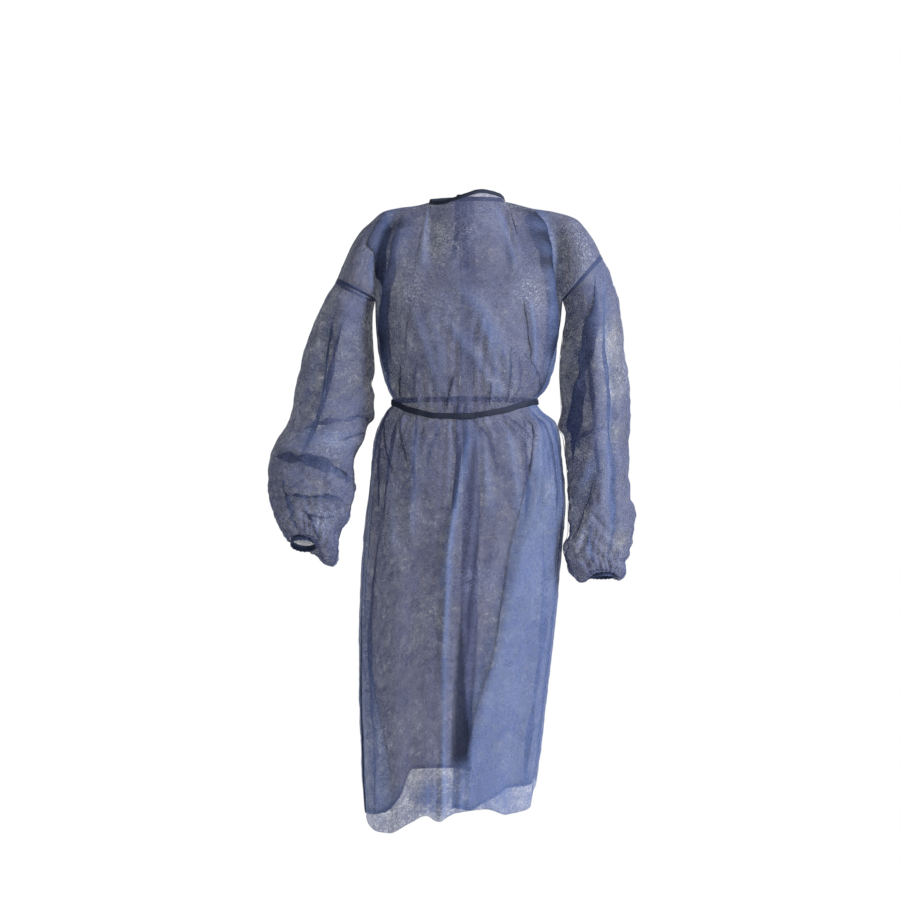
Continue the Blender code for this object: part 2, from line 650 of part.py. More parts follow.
def sheet_object(name, points, thickness, material, closed=False, centres=None):
    """A wall of cloth on a grid of points. A closed one is a tube whose last column is its first.

    Where the true places of the cells' centres are given, each cell is split along the nearer diagonal.
    """
    rows, columns = points.shape[:2]
    shape = bmesh.new()
    bmesh.ops.create_grid(shape, x_segments=columns - 1, y_segments=rows - 1, size=1)
    shape.verts.ensure_lookup_table()
    for vert, place in zip(shape.verts, points.reshape(-1, 3)):
        vert.co = place
    if centres is not None:
        falling = np.linalg.norm((points[:-1, :-1] + points[1:, 1:]) / 2 - centres, axis=-1)
        rising = np.linalg.norm((points[:-1, 1:] + points[1:, :-1]) / 2 - centres, axis=-1)
        for face in list(shape.faces):
            corners = sorted(face.verts, key=lambda vert: vert.index)
            row, column = divmod(corners[0].index, columns)
            ends = (0, 3) if falling[row, column] < rising[row, column] else (1, 2)
            bmesh.utils.face_split(face, corners[ends[0]], corners[ends[1]])
    if closed:
        bmesh.ops.remove_doubles(shape, verts=shape.verts, dist=0.01 * MM)
    mesh = bpy.data.meshes.new(name)
    shape.to_mesh(mesh)
    shape.free()
    mesh.shade_smooth()
    mesh.materials.append(material)
    cloth = bpy.data.objects.new(name, mesh)
    bpy.context.scene.collection.objects.link(cloth)
    wall = cloth.modifiers.new("Wall", "SOLIDIFY")
    wall.thickness = thickness
    wall.offset = 0
    wall.use_even_offset = False
    return cloth


def front_angles():
    """The columns of the front, spaced so that one is at each corner of the neckline."""
    left = np.linspace(-90, -NECK_ANGLE, SHOULDER_COLUMNS + 1)
    neck = np.linspace(-NECK_ANGLE, NECK_ANGLE, NECKLINE_COLUMNS + 1)
    return np.concatenate([left[:-1], neck, -left[-2::-1]])


def back_angles(level, side):
    """The columns of one half of the back at some levels: angles that run up, as the front's do."""
    level = np.atleast_1d(np.asarray(level, float))[:, None]
    half = along(LAP_ROWS, "level", "half", level) - side * along(LAP_ROWS, "level", "shift", level)
    shoulder = np.linspace(90, 180 - NECK_ANGLE, SHOULDER_COLUMNS + 1)
    nape = 180 - NECK_ANGLE + (NECK_ANGLE + half) * np.linspace(0, 1, NAPE_COLUMNS + 1)[1:]
    angle = np.concatenate([np.broadcast_to(shoulder, (len(half), len(shoulder))), nape], axis=1)
    return angle if side > 0 else (360 - angle)[:, ::-1]


def front_panel(name, material):
    """The front of the body, from side seam to side seam."""
    angle, level = np.meshgrid(front_angles(), FRONT_LEVELS)
    points, _ = body_cloth(angle, level)
    centres, _ = body_cloth(middles(angle), middles(level))
    return sheet_object(name, points, WALL, material, centres=centres)


def middles(grid):
    """The average of the four corners of each cell."""
    return (grid[:-1, :-1] + grid[1:, :-1] + grid[:-1, 1:] + grid[1:, 1:]) / 4


def back_grid(side, levels):
    """The angles and levels of one half of the back."""
    angle = back_angles(levels, side)
    return angle, np.asarray(levels, float)[:, None] + 0 * angle


def back_cloth(side, levels):
    """The middle surface of one half of the back, with its normals; the half at +X lies over the other."""
    return body_cloth(*back_grid(side, levels), side > 0)


def back_panel(name, side, material):
    """One half of the back, from its side seam past the middle."""
    angle, level = back_grid(side, BACK_LEVELS)
    points, _ = body_cloth(angle, level, side > 0)
    centres, _ = body_cloth(middles(angle), middles(level), side > 0)
    return sheet_object(name, points, WALL, material, centres=centres)


def sleeve(name, side, material):
    """One sleeve, from armhole to wrist, with a row of cloth at every ring and more where rings are far."""
    places, length = ring_places(side)
    shares = [0.0]
    for start, end in zip(places, places[1:]):
        pieces = max(1, round((end - start) * length / LONG_RING_STEP))
        shares.extend(start + (end - start) * (k + 1) / pieces for k in range(pieces))
    turn, share = np.meshgrid(np.linspace(0, 360, SLEEVE_COLUMNS + 1), shares)
    points, _ = sleeve_cloth(side, turn, share)
    points[:, -1] = points[:, 0]
    return sheet_object(name, points[::-1], WALL, material, closed=True)


def cuff(name, side, material):
    """The elastic band that gathers the sleeve's end: it sits just inside the last ring, and below it."""
    turn, share = np.meshgrid(np.linspace(0, 360, SLEEVE_COLUMNS + 1), [0.98, 1.0])
    ring = sleeve_cloth(side, turn, share)[0][-1]
    ring[-1] = ring[0]
    middle, across, back, numbers = [values[-1] for values in sleeve_rings(side)]
    down = np.cross(across, back)
    down = down * -np.sign(down[2])
    squeeze = 1 - (WALL / 2 + CUFF_WALL / 2 + CUFF_NEST + numbers[2] / 2) / numbers[0]
    drops = np.array([0, CUFF_HEIGHT])
    rings = middle + (ring - middle) * squeeze + down * drops[:, None, None]
    return sheet_object(name, rings[::-1], CUFF_WALL, material, closed=True)


def neck_binding(name, material):
    """The tape round the neckline, from the end of the inner back panel to that of the outer one."""
    return sheet_object(name, binding_rows(), BINDING_WALL, material)


def binding_rows():
    """The binding's upper edge, middle and lower edge, standing on the top edges of the panels."""
    levels = FRONT_LEVELS[:2]
    front, level = np.meshgrid(front_angles(), levels)
    spans = (
        (back_angles([0], -1)[0], back_cloth(-1, levels)[0]),
        (front[0], body_cloth(front, level)[0]),
        (back_angles([0], 1)[0], back_cloth(1, levels)[0]),
    )
    starts, ups = [], []
    for angles, (edge, below) in spans:
        behind = is_behind(angles)
        folded = np.where(behind, 180 - angles, angles)
        up = -unit(neck_direction(folded, np.where(behind, 1.0, -1.0)))
        straight = (unit(edge - below) * up).sum(axis=-1)
        clear = BINDING_GAP + WALL / 2 * np.sqrt(np.clip(1 - straight**2, 0, 1))
        in_neck = np.abs(folded) < NECK_ANGLE + 0.1
        starts.append((edge + up * clear[:, None])[in_neck])
        ups.append(up[in_neck])
    start, up = np.concatenate(starts), np.concatenate(ups)
    return start + up * np.array([BINDING_HEIGHT, BINDING_HEIGHT / 2, 0])[:, None, None]


def waist_tie(name, material):
    """The belt: a closed band that lies on the gathers, over the lapped back."""
    upper, lower, out = belt_band()
    offset = out * (WALL / 2 + TIE_WALL / 2 + BELT_GAP)
    rows = np.array([upper * (1 - part) + lower * part + offset for part in (0.1, 0.9)])
    return sheet_object(name, rows, TIE_WALL, material, closed=True)


def belt_band():
    """The cloth's own points at the belt's two edges, at the panels' columns, and the way outwards."""
    levels = (BELT_TOP, BELT_BOTTOM)
    angle, level = np.meshgrid(front_angles(), levels)
    front, _ = body_cloth(angle, level)
    outer, _ = back_cloth(1, levels)
    inner, _ = back_cloth(-1, levels)
    past_lap = back_angles([2], -1)[0] > 180 + along(LAP_ROWS, "level", "half", np.array([2.0])) + 5
    band = np.concatenate([front, outer[:, 1:], inner[:, past_lap]], axis=1)
    band[:, -1] = band[:, 0]
    way = np.roll(band[0, :-1], -1, axis=0) - np.roll(band[0, :-1], 1, axis=0)
    out = unit(np.cross(way, [0, 0, 1]) * [1, 1, 0])
    return band[0], band[1], np.concatenate([out, out[:1]])


def unit(vectors):
    """The vectors at length 1."""
    return vectors / np.maximum(np.linalg.norm(vectors, axis=-1, keepdims=True), 1e-9)


def knot_places():
    """Where the two knots sit: on the belt's back, and on the binding's outer end."""
    upper, lower, out = belt_band()
    belt = (upper + lower) / 2 + out * (WALL / 2 + TIE_WALL + BELT_GAP)
    binding = binding_rows()[:2].mean(axis=0)[-NAPE_COLUMNS:] + [0, BINDING_WALL / 2, 0]
    places = {}
    for name, line, gap in (("waist", belt, WAIST_KNOT_GAP), ("neck", binding, NECK_KNOT_GAP)):
        behind = line[line[:, 1] > 0]
        nearest = behind[np.argmin(np.abs(behind[:, 0]))]
        places[name] = nearest + [0, KNOT_SIZE[1] / 2 + gap, 0]
    return places


def tail(row, material):
    """One free end of a tie: it leaves its knot, falls on to the outer back panel and lies down it."""
    place = knot_places()[row.knot]
    cloth, normals = back_cloth(1, BACK_LEVELS)
    cloth = cloth + normals * (WALL / 2 + TIE_WALL / 2 + TAIL_GAP)
    start = place[2] - KNOT_SIZE[2] / 2 - WAIST_KNOT_GAP
    rows_of_cloth = cloth[:, -NAPE_COLUMNS // 2, 2]
    upper, lower = start - TAIL_ROW_CLEAR, start - row.length + TAIL_ROW_CLEAR
    crossed = rows_of_cloth[(rows_of_cloth < upper) & (rows_of_cloth > lower)]
    z = np.concatenate([np.linspace(start, start - row.length, TAIL_STEPS), crossed])
    z = -np.unique(-z)
    share = (start - z) / row.length
    lanes = []
    for edge in (-TAIL_WIDTH / 2, TAIL_WIDTH / 2):
        x = place[0] + row.aside + edge + row.sway * share * share
        lying = lay_on(cloth, x, z)
        fall = 1 - smooth_step(0, TAIL_FALL, share)
        lying[:, 1] += (place[1] - lying[0, 1]) * fall
        lanes.append(lying)
    return sheet_object(row.name, np.array(lanes).transpose(1, 0, 2), TIE_WALL, material)


def lay_on(cloth, x, z):
    """Places on a grid of cloth, given across and up."""
    found = []
    for want_x, want_z in zip(x, z):
        columns = cloth[:, SHOULDER_COLUMNS // 2 :]
        across = [np.interp(-want_z, -column[:, 2], column[:, 0]) for column in np.moveaxis(columns, 1, 0)]
        depth = [np.interp(-want_z, -column[:, 2], column[:, 1]) for column in np.moveaxis(columns, 1, 0)]
        found.append([want_x, np.interp(-want_x, -np.array(across), depth), want_z])
    return np.array(found)


def knot(name, place, material):
    """A small soft knot."""
    shape = bmesh.new()
    bmesh.ops.create_icosphere(shape, subdivisions=2, radius=0.5)
    bmesh.ops.scale(shape, vec=KNOT_SIZE, verts=shape.verts)
    bmesh.ops.translate(shape, vec=place, verts=shape.verts)
    mesh = bpy.data.meshes.new(name)
    shape.to_mesh(mesh)
    shape.free()
    mesh.shade_smooth()
    mesh.materials.append(material)
    piece = bpy.data.objects.new(name, mesh)
    bpy.context.scene.collection.objects.link(piece)
    return piece


def main():
    """Clears the scene and makes every piece."""
    for old in list(bpy.data.objects):
        bpy.data.objects.remove(old)
    cloth = fabric("cloth", CLOTH_COLOUR)
    elastic = fabric("elastic", CUFF_COLOUR)
    tape = fabric("tape", TIE_COLOUR)
    front_panel("front_panel", cloth)
    back_panel("back_right", 1, cloth)
    back_panel("back_left", -1, cloth)
    for name, side in (("left", -1), ("right", 1)):
        sleeve(f"sleeve_{name}", side, cloth)
        cuff(f"cuff_{name}", side, elastic)
    neck_binding("neck_binding", tape)
    waist_tie("waist_tie", tape)
    for name, place in knot_places().items():
        knot(f"{name}_knot", place, tape)
    for row in TAILS:
        tail(row, tape)


main()
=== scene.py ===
"""A knee-length disposable isolation gown of sheer spunbond cloth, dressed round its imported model.

Metres, +Z up. The front faces -Y, and LEFT and RIGHT are as someone who looks at the front sees them.
The origin is the middle of the shoulders at the root of the neck, where the gown is held up.

A point of the body cloth has an angle and a level. The angle runs round the gown in degrees: 0 is the middle
of the front, 90 the right side, 180 the middle of the back. The level runs down the cloth: 0 is the neckline
and shoulder seam, 1 the chest line, 2 the belt and 3 the hem. A point of a sleeve has a turn, round it from
its right side over the back, and a share of the way down it.
"""

import logging
import math
from dataclasses import dataclass, field
from enum import Enum
from typing import Iterable, NamedTuple, Sequence, TypeVar

import bmesh
import bpy
import numpy as np
from mathutils import Matrix, Vector


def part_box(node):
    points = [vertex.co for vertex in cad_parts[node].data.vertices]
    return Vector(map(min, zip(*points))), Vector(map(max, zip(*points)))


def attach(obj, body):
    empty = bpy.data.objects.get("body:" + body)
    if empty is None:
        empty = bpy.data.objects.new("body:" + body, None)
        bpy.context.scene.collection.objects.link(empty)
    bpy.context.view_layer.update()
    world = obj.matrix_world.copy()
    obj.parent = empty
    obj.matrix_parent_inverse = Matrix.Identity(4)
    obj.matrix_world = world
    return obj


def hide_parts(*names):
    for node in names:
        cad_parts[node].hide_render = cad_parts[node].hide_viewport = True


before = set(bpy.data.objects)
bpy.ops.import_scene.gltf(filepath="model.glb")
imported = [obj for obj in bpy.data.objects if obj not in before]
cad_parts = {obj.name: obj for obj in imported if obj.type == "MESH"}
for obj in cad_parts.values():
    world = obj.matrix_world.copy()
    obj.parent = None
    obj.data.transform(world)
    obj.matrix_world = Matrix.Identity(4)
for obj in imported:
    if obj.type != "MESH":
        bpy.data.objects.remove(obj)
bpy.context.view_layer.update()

LOG = logging.getLogger("gown")
Array = np.ndarray
Socket = bpy.types.NodeSocket
Shape = bmesh.types.BMesh
Piece = bpy.types.Object
Pieces = list[Piece]
MM = 0.001
# Half the width of that part of the outer back panel on which the ties lie
TIE_GROUND = 0.07
# Which set of wrinkles each piece of cloth gets
SEEDS = {"front_panel": 11, "back_right": 31, "back_left": 47, "sleeve_left": 61, "sleeve_right": 83}


class Side(Enum):
    """A side of the gown, by the sign of X there."""

    LEFT = -1
    RIGHT = 1

    @property
    def word(self) -> str:
        """The side's name in the names of pieces."""
        return self.name.lower()


class Run(Enum):
    """Which way a tuck of the cloth runs."""

    DOWN = "down"
    ACROSS = "across"


class Hold(Enum):
    HUNG = "hung"
    GATHERED = "gathered"


class BodyRow(NamedTuple):
    """The section of the body cloth at one drop below the shoulders."""

    drop: float
    left: float
    right: float
    front: float
    back: float


class HemRow(NamedTuple):
    """How far below the shoulders the hem hangs at one angle."""

    angle: float
    drop: float


class ShoulderRow(NamedTuple):
    """A point of the shoulder seam."""

    angle: float
    x: float
    z: float


class NeckRow(NamedTuple):
    """The height of the neckline's front at one angle."""

    angle: float
    z: float


class LapRow(NamedTuple):
    """Half the width of the back lap and how far its middle lies to the right, in degrees, at one level."""

    level: float
    half: float
    shift: float


class CloseRow(NamedTuple):
    """The angles between which the front's cloth lies close at one level.

    Outside them it hangs free, painted lighter as painted light, up to the far angles, where it lies close again.
    """

    level: float
    far_left: float
    left: float
    right: float
    far_right: float


class EdgeRow(NamedTuple):
    """The two edges, in degrees, of a zone of the front at one level."""

    level: float
    left: float
    right: float


class Spot(NamedTuple):
    """A soft round patch of a piece's cloth: where round and down it, and its radius in millimetres."""

    around: float
    down: float
    radius: float
    strength: float = 1.0


class Pleat(NamedTuple):
    """One gather under the belt: lift in millimetres, rise and fall in metres above and below the belt."""

    angle: float
    spread: float
    lift: float
    rise: float
    fall: float
    lean: float


class Fold(NamedTuple):
    """A long soft fold of the body cloth, with its lift in millimetres."""

    top: float
    end: float
    top_angle: float
    end_angle: float
    width: float
    lift: float


class SleeveRow(NamedTuple):
    """One ring of a sleeve."""

    x: float
    y: float
    z: float
    wide: float
    deep: float
    roll: float
    pitch: float = 0
    flute: float = 0
    hang_right: float = 0
    hang_left: float = 0


class Crease(NamedTuple):
    """A soft crease of a sleeve, from one turn and share to another, with its lift in millimetres."""

    turn: float
    share: float
    end_turn: float
    end_share: float
    width: float
    lift: float


class Tuck(NamedTuple):
    """A place where the cloth doubles over itself and three layers lie on one another.

    The path holds pairs of the place along the tuck and the place of its middle across it. Width, depth
    and lift are in millimetres, and over is the side, -1 or 1, that lies on top.
    """

    path: tuple[tuple[float, float], ...]
    width: float
    depth: float
    lift: float
    over: int
    run: Run = Run.DOWN


class SleeveTables(NamedTuple):
    """The tables of one sleeve, and how dark the cloth of its tucks is painted, as a share of painted shade.

    The zones are its light-flecked places, its places of painted shade, and its places thinned as painted light.
    """

    rings: tuple[SleeveRow, ...]
    creases: tuple[Crease, ...]
    tucks: tuple[Tuck, ...]
    zones: tuple[tuple[Spot, ...], ...]
    tuck_shade: float


class Lamp(NamedTuple):
    """A round area light, with its size across and its power in watts."""

    name: str
    place: tuple[float, float, float]
    size: float
    power: float
    colour: tuple[float, float, float]


Row = TypeVar("Row", bound=NamedTuple)


def rows_of(kind: type[Row], *rows: tuple) -> tuple[Row, ...]:
    """A table: rows of numbers as rows of one kind."""
    return tuple(kind(*row) for row in rows)


BODY_ROWS = rows_of(
    BodyRow,
    (0.176, -0.166, 0.180, -0.120, 0.116),
    (0.231, -0.165, 0.176, -0.122, 0.116),
    (0.270, -0.161, 0.170, -0.120, 0.112),
    (0.300, -0.153, 0.161, -0.117, 0.107),
    (0.340, -0.139, 0.147, -0.109, 0.099),
    (0.365, -0.131, 0.130, -0.101, 0.092),
    (0.385, -0.145, 0.141, -0.104, 0.100),
    (0.407, -0.156, 0.163, -0.110, 0.115),
    (0.445, -0.166, 0.173, -0.118, 0.129),
    (0.546, -0.178, 0.180, -0.130, 0.140),
    (0.657, -0.187, 0.172, -0.134, 0.142),
    (0.770, -0.191, 0.163, -0.136, 0.143),
    (0.880, -0.191, 0.152, -0.138, 0.145),
    (0.990, -0.187, 0.140, -0.140, 0.147),
    (1.110, -0.183, 0.128, -0.142, 0.148),
)
HEM_ROWS = rows_of(
    HemRow,
    (-90, 1.125), (-68, 1.138), (-44, 1.142), (-24, 1.118), (-13, 1.104), (-6, 1.114), (3, 1.098), (20, 1.093),
    (40, 1.108), (56, 1.104), (76, 1.076), (90, 1.062), (118, 1.084), (146, 1.094), (180, 1.068), (205, 1.068),
    (216, 1.118), (230, 1.146), (250, 1.140), (270, 1.125),
)
LAP_HEM_ROWS = rows_of(
    HemRow,
    (90, 0), (115, 0.006), (137, 0.008), (151, 0.031), (160, 0.052), (170, 0.077), (187, 0.080),
)
SHOULDER_LEFT = rows_of(
    ShoulderRow,
    (34, -0.066, 0.004), (41, -0.089, -0.002), (49, -0.120, -0.006), (57, -0.148, -0.012), (65, -0.174, -0.032),
    (73, -0.199, -0.058), (82, -0.222, -0.103), (90, -0.238, -0.143),
)
SHOULDER_RIGHT = rows_of(
    ShoulderRow,
    (34, 0.073, 0.006), (39, 0.094, 0.001), (46, 0.124, -0.007), (54, 0.152, -0.011), (62, 0.180, -0.017),
    (70, 0.206, -0.027), (77, 0.225, -0.048), (84, 0.242, -0.074), (90, 0.252, -0.097),
)
NECK_ROWS = rows_of(
    NeckRow,
    (-34, 0.004), (-26, -0.002), (-16, -0.0055), (-7, -0.0005), (0, 0.0065), (8, 0.0137), (17, 0.0118),
    (26, 0.0095), (34, 0.006),
)
LAP_ROWS = rows_of(
    LapRow,
    (0, 4.5, 0), (1, 3.4, 0), (2, 3.4, 1), (2.32, 4, 4), (2.50, 5, 6), (2.60, 5, 6.5), (3, 6, 6.5),
)
CLOSE_ROWS = rows_of(
    CloseRow,
    (0.00, -54, -50, 45, 48), (0.20, -58, -52, 48, 54), (0.50, -68, -55, 51, 60), (0.70, -76, -56, 53, 68),
    (0.90, -90, -56, 54, 84), (1.10, -98, -56, 54, 98), (1.50, -98, -59, 57, 98), (1.96, -98, -72, 64, 98),
    (2.04, -98, -80, 52, 98), (2.15, -98, -72, 39, 98), (2.29, -98, -69, 29, 98), (2.48, -98, -65, 23, 98),
    (2.62, -98, -58, 18, 98), (2.78, -98, -48, 11, 98), (2.92, -98, -41, 6, 98), (3.00, -98, -38, 4, 98),
)
# Painted shadow: the edges of the zone of the front painted dark over the back's bunched lap
SHADOW_ROWS = rows_of(
    EdgeRow,
    (2.00, 0.5, 1.0), (2.48, 0.3, 1.2), (2.62, 0, 3.2), (2.78, -0.3, 6.5), (2.89, -0.5, 7.8), (3.00, -0.5, 8.0),
)
BODY_SPOTS = rows_of(
    Spot,
    (-34, 0.95, 36), (38, 0.97, 34), (-15, 0.42, 40), (72, 0.40, 52), (24, 1.84, 30, 0.7), (-28, 1.84, 26, 0.5),
    (54, 2.46, 40, 0.8), (42, 2.10, 18, 0.6), (-72, 0.42, 26, 0.5), (44, 2.30, 46, 0.5), (-36, 2.30, 40, 0.3),
    (-6, 1.20, 30, 0.3), (58, 2.20, 24, 0.6), (34, 2.72, 50, 0.3), (-24, 1.50, 34, 0.3),
)
# Painted shade: places of the front painted darker, beside the arms, down the sides and on the skirt's right
BODY_SHADES = rows_of(
    Spot,
    (43, 0.20, 17, 0.90), (45, 0.46, 15, 0.85), (47, 0.68, 13, 0.6), (60, 1.20, 18, 0.4), (62, 1.46, 24, 0.8),
    (66, 1.80, 26, 0.9), (-47, 0.36, 14, 0.80), (-52, 0.70, 14, 0.4), (-66, 1.05, 18, 0.5), (-58, 1.40, 26, 0.5),
    (-52, 1.81, 28, 0.6), (66, 2.42, 22, 0.35), (70, 2.34, 16, 0.25),
)
# Painted shade and light: thicker, darker cloth at the middle of the hem, thinner, lighter cloth on the skirt's right
BODY_SHADE_LIGHT_COVERS = rows_of(
    Spot,
    (-10, 2.95, 28, 0.9), (-26, 2.98, 22, 0.3), (16, 2.96, 24, 0.5), (34, 2.95, 24, 0.4), (50, 2.22, 26, -0.5),
    (56, 2.32, 20, -0.3),
)
SPOTS_LEFT = rows_of(Spot, (318, 0.20, 40, 0.6), (300, 0.58, 30), (350, 0.34, 24, 0.5), (290, 0.88, 30, 0.8))
# Painted shade of the left sleeve
SHADES_LEFT = rows_of(Spot, (302, 0.18, 20, 0.5), (310, 0.32, 20, 0.4), (328, 0.70, 14, 0.5))
# Painted light: places where the left sleeve's cloth is thinner so it looks lit
LIGHT_COVERS_LEFT = rows_of(
    Spot,
    (238, 0.22, 28, -0.5), (249, 0.34, 22, -0.3), (256, 0.47, 30, -0.5), (285, 0.745, 20, -0.6),
    (342, 0.80, 22, -0.5),
)
SPOTS_RIGHT = rows_of(Spot, (322, 0.30, 50, 1.0), (228, 0.20, 30, 0.5), (230, 0.84, 34), (310, 0.86, 30, 0.6))
# Painted shade of the right sleeve
SHADES_RIGHT = rows_of(Spot, (214, 0.16, 26, 0.6), (220, 0.30, 24, 0.6), (274, 0.10, 16, 0.5), (262, 0.18, 14, 0.4))
LIGHT_COVERS_RIGHT = rows_of(
    Spot,
    # Painted light: thinner cloth on the outer side, front and back
    (310, 0.22, 34, -0.9), (306, 0.36, 30, -0.8), (310, 0.50, 30, -0.6), (312, 0.66, 28, -0.4),
    (316, 0.85, 30, -0.7), (50, 0.22, 34, -0.7), (54, 0.36, 30, -0.7), (50, 0.50, 30, -0.5),
    (44, 0.85, 30, -0.4),
)
FRONT_PLEATS = rows_of(
    Pleat,
    (-80, 4.5, 6.0, 0.07, 0.13, -30),
    (-68, 4.0, 5.0, 0.05, 0.16, -40),
    (-52, 4.0, 5.0, 0.03, 0.12, 60),
    (-36, 4.0, 4.0, 0.04, 0.13, -50),
    (-20, 4.0, 3.5, 0.03, 0.09, -40),
    (-4, 4.0, 4.0, 0.03, 0.10, -40),
    (12, 4.0, 4.5, 0.05, 0.12, 70),
    (28, 4.0, 4.5, 0.07, 0.10, 80),
    (40, 4.0, 5.0, 0.09, 0.10, -30),
    (52, 4.0, 6.5, 0.10, 0.15, -60),
    (64, 4.0, 5.5, 0.11, 0.12, 40),
    (78, 4.5, 7.0, 0.10, 0.15, 50),
)
# Those of the back: how many, how many degrees apart, and their lift
BACK_PLEATS, BACK_PLEAT_STEP, BACK_PLEAT_LIFT = 16, 10.6, 5.0
FOLDS = rows_of(
    Fold,
    # Drapes beside the sleeves, front and back
    (0.05, 1.60, -50, -86, 0.016, -15),
    (0.20, 1.55, -42, -72, 0.018, 3.5),
    (0.05, 1.60, 50, 86, 0.016, -15),
    (0.15, 1.60, 42, 72, 0.018, 4),
    (0.05, 1.50, 228, 266, 0.018, -12),
    (0.05, 1.50, 132, 94, 0.018, -12),
    # Drags across the upper front and back
    (0.80, 1.90, -8, 34, 0.012, 4),
    (1.16, 1.95, 4, 22, 0.008, 4),
    (1.20, 1.92, -12, 20, 0.009, 3.5),
    (1.10, 1.90, -32, -14, 0.012, 3.5),
    (1.10, 1.70, -22, -12, 0.009, 3),
    (0.02, 0.85, 14, 28, 0.009, 4),
    (0.95, 1.85, 34, 48, 0.008, 5),
    (0.10, 0.80, -30, -26, 0.012, 3),
    (0.40, 1.80, 150, 158, 0.020, 5),
    (0.40, 1.80, 212, 204, 0.020, 5),
    # The skirt's front: the narrow ridge and its trough, the slanting fold and its trough, the sides
    (1.98, 2.50, 2, -10, 0.005, 6),
    (2.16, 3.30, -6.5, -3, 0.005, 6.5),
    (2.20, 3.10, -22, -26, 0.026, -7),
    (2.02, 2.36, -32, -28, 0.010, 4),
    (2.02, 2.30, 4, 12, 0.008, 4),
    (2.02, 2.40, -58, -38, 0.010, 4),
    (2.02, 2.34, 22, 30, 0.009, 4),
    (2.03, 3.05, 50, -2, 0.017, 11),
    (2.12, 3.10, 36, -9, 0.020, -6),
    (2.25, 3.10, -76, -52, 0.020, 8),
    (2.25, 3.10, -62, -38, 0.022, -7),
    (2.45, 3.10, 60, 62, 0.018, 8),
    (2.50, 3.10, 44, 42, 0.020, -8),
    (2.10, 3.10, 82, 84, 0.020, 7),
    # The skirt's back
    (2.10, 3.10, 112, 108, 0.022, 10),
    (2.15, 3.10, 126, 124, 0.022, -9),
    (2.10, 3.10, 141, 143, 0.020, 9),
    (2.15, 3.10, 212, 216, 0.022, -8),
    (2.10, 3.10, 227, 233, 0.022, 10),
    (2.10, 3.10, 242, 250, 0.022, -9),
    (2.10, 3.10, 257, 266, 0.020, 8),
)
FRONT_TUCKS = rows_of(
    Tuck,
    # The drapes beside the sleeves, where the loose cloth of the front doubles under
    (((0.06, -56), (0.45, -62), (0.80, -62), (1.10, -61), (1.45, -65), (1.85, -68)), 17, 28, 4.0, 1),
    (((0.06, 47), (0.45, 49), (0.75, 55), (1.05, 62), (1.30, 65), (1.80, 66)), 16, 27, 4.0, -1),
    # Thin creases above the gathers
    (((0.95, 29), (1.35, 36), (1.72, 45)), 4.5, 3.2, 1.6, 1),
    (((1.38, 17), (1.80, 25)), 4.0, 2.8, 1.4, -1),
    (((1.02, -33), (1.62, -42)), 4.0, 2.6, 1.4, 1),
    # Gathers that run up from the belt
    (((1.58, -44), (1.96, -60)), 5.0, 5.2, 2.2, 1),
    (((1.66, -30), (1.96, -36)), 4.5, 4.4, 2.0, -1),
    (((1.42, 24), (1.96, 27)), 5.0, 5.4, 2.2, -1),
    (((1.46, 30), (1.96, 70)), 5.5, 5.8, 2.4, -1),
    (((1.62, -6), (1.96, -14)), 4.5, 4.4, 1.8, 1),
    (((1.70, 12), (1.96, 14)), 4.5, 3.2, 1.6, 1),
    # Gathers that run down from it
    (((2.015, -77), (2.17, -44)), 5.5, 6.4, 2.6, 1),
    (((2.015, -51), (2.15, -33)), 5.0, 5.6, 2.2, 1),
    (((2.015, -24), (2.10, -32)), 4.5, 4.8, 2.0, -1),
    (((2.015, -15), (2.17, -23)), 5.0, 5.4, 2.2, -1),
    (((2.015, 8), (2.18, 16)), 4.5, 5.2, 2.0, -1),
    (((2.015, 30), (2.11, 42)), 5.0, 5.6, 2.2, -1),
    (((2.015, 58), (2.30, 68)), 5.5, 7.4, 2.6, -1),
    # The skirt: narrow ridge, slanting fold, left fold
    (((2.015, 47), (2.10, 41), (2.20, 34)), 5.0, 4.6, 2.0, 1),
    (((2.12, 37), (2.29, 28), (2.48, 22), (2.62, 18), (2.78, 10), (2.92, 5)), 6.0, 3.0, 2.6, 1),
    (((2.12, -71), (2.46, -66), (2.70, -54), (2.86, -42), (3.08, -38)), 6.0, 3.2, 2.6, 1),
)
BACK_TUCKS = rows_of(
    Tuck,
    # Behind the sleeves
    (((0.10, 134), (0.55, 126), (1.05, 120), (1.75, 118)), 11, 16, 3.5, 1),
    (((0.10, 226), (0.55, 234), (1.05, 240), (1.75, 242)), 11, 16, 3.5, -1),
    # Under and over the belt
    (((1.50, 146), (1.96, 138)), 4.5, 6, 2.0, 1),
    (((1.55, 212), (1.96, 222)), 4.5, 6, 2.0, -1),
    (((2.015, 104), (2.30, 110)), 4.5, 6.5, 2.2, 1),
    (((2.015, 122), (2.22, 118)), 4.5, 6, 2.0, -1),
    (((2.015, 140), (2.34, 144)), 4.5, 6.5, 2.2, 1),
    (((2.015, 214), (2.26, 210)), 4.5, 6, 2.0, 1),
    (((2.015, 232), (2.36, 236)), 4.5, 6.5, 2.2, -1),
    (((2.015, 252), (2.28, 246)), 4.5, 6, 2.0, -1),
    (((2.20, 240), (2.60, 250), (3.08, 247)), 7.0, 10, 3.0, 1),
    (((2.30, 122), (2.60, 116), (3.08, 118)), 7.0, 10, 3.0, -1),
)
INNER_TUCKS = rows_of(
    Tuck,
    # The bunched edge under the lap
    (((2.34, 175), (2.50, 173), (2.62, 173), (3.10, 173)), 7, 10, 2.0, 1),
)
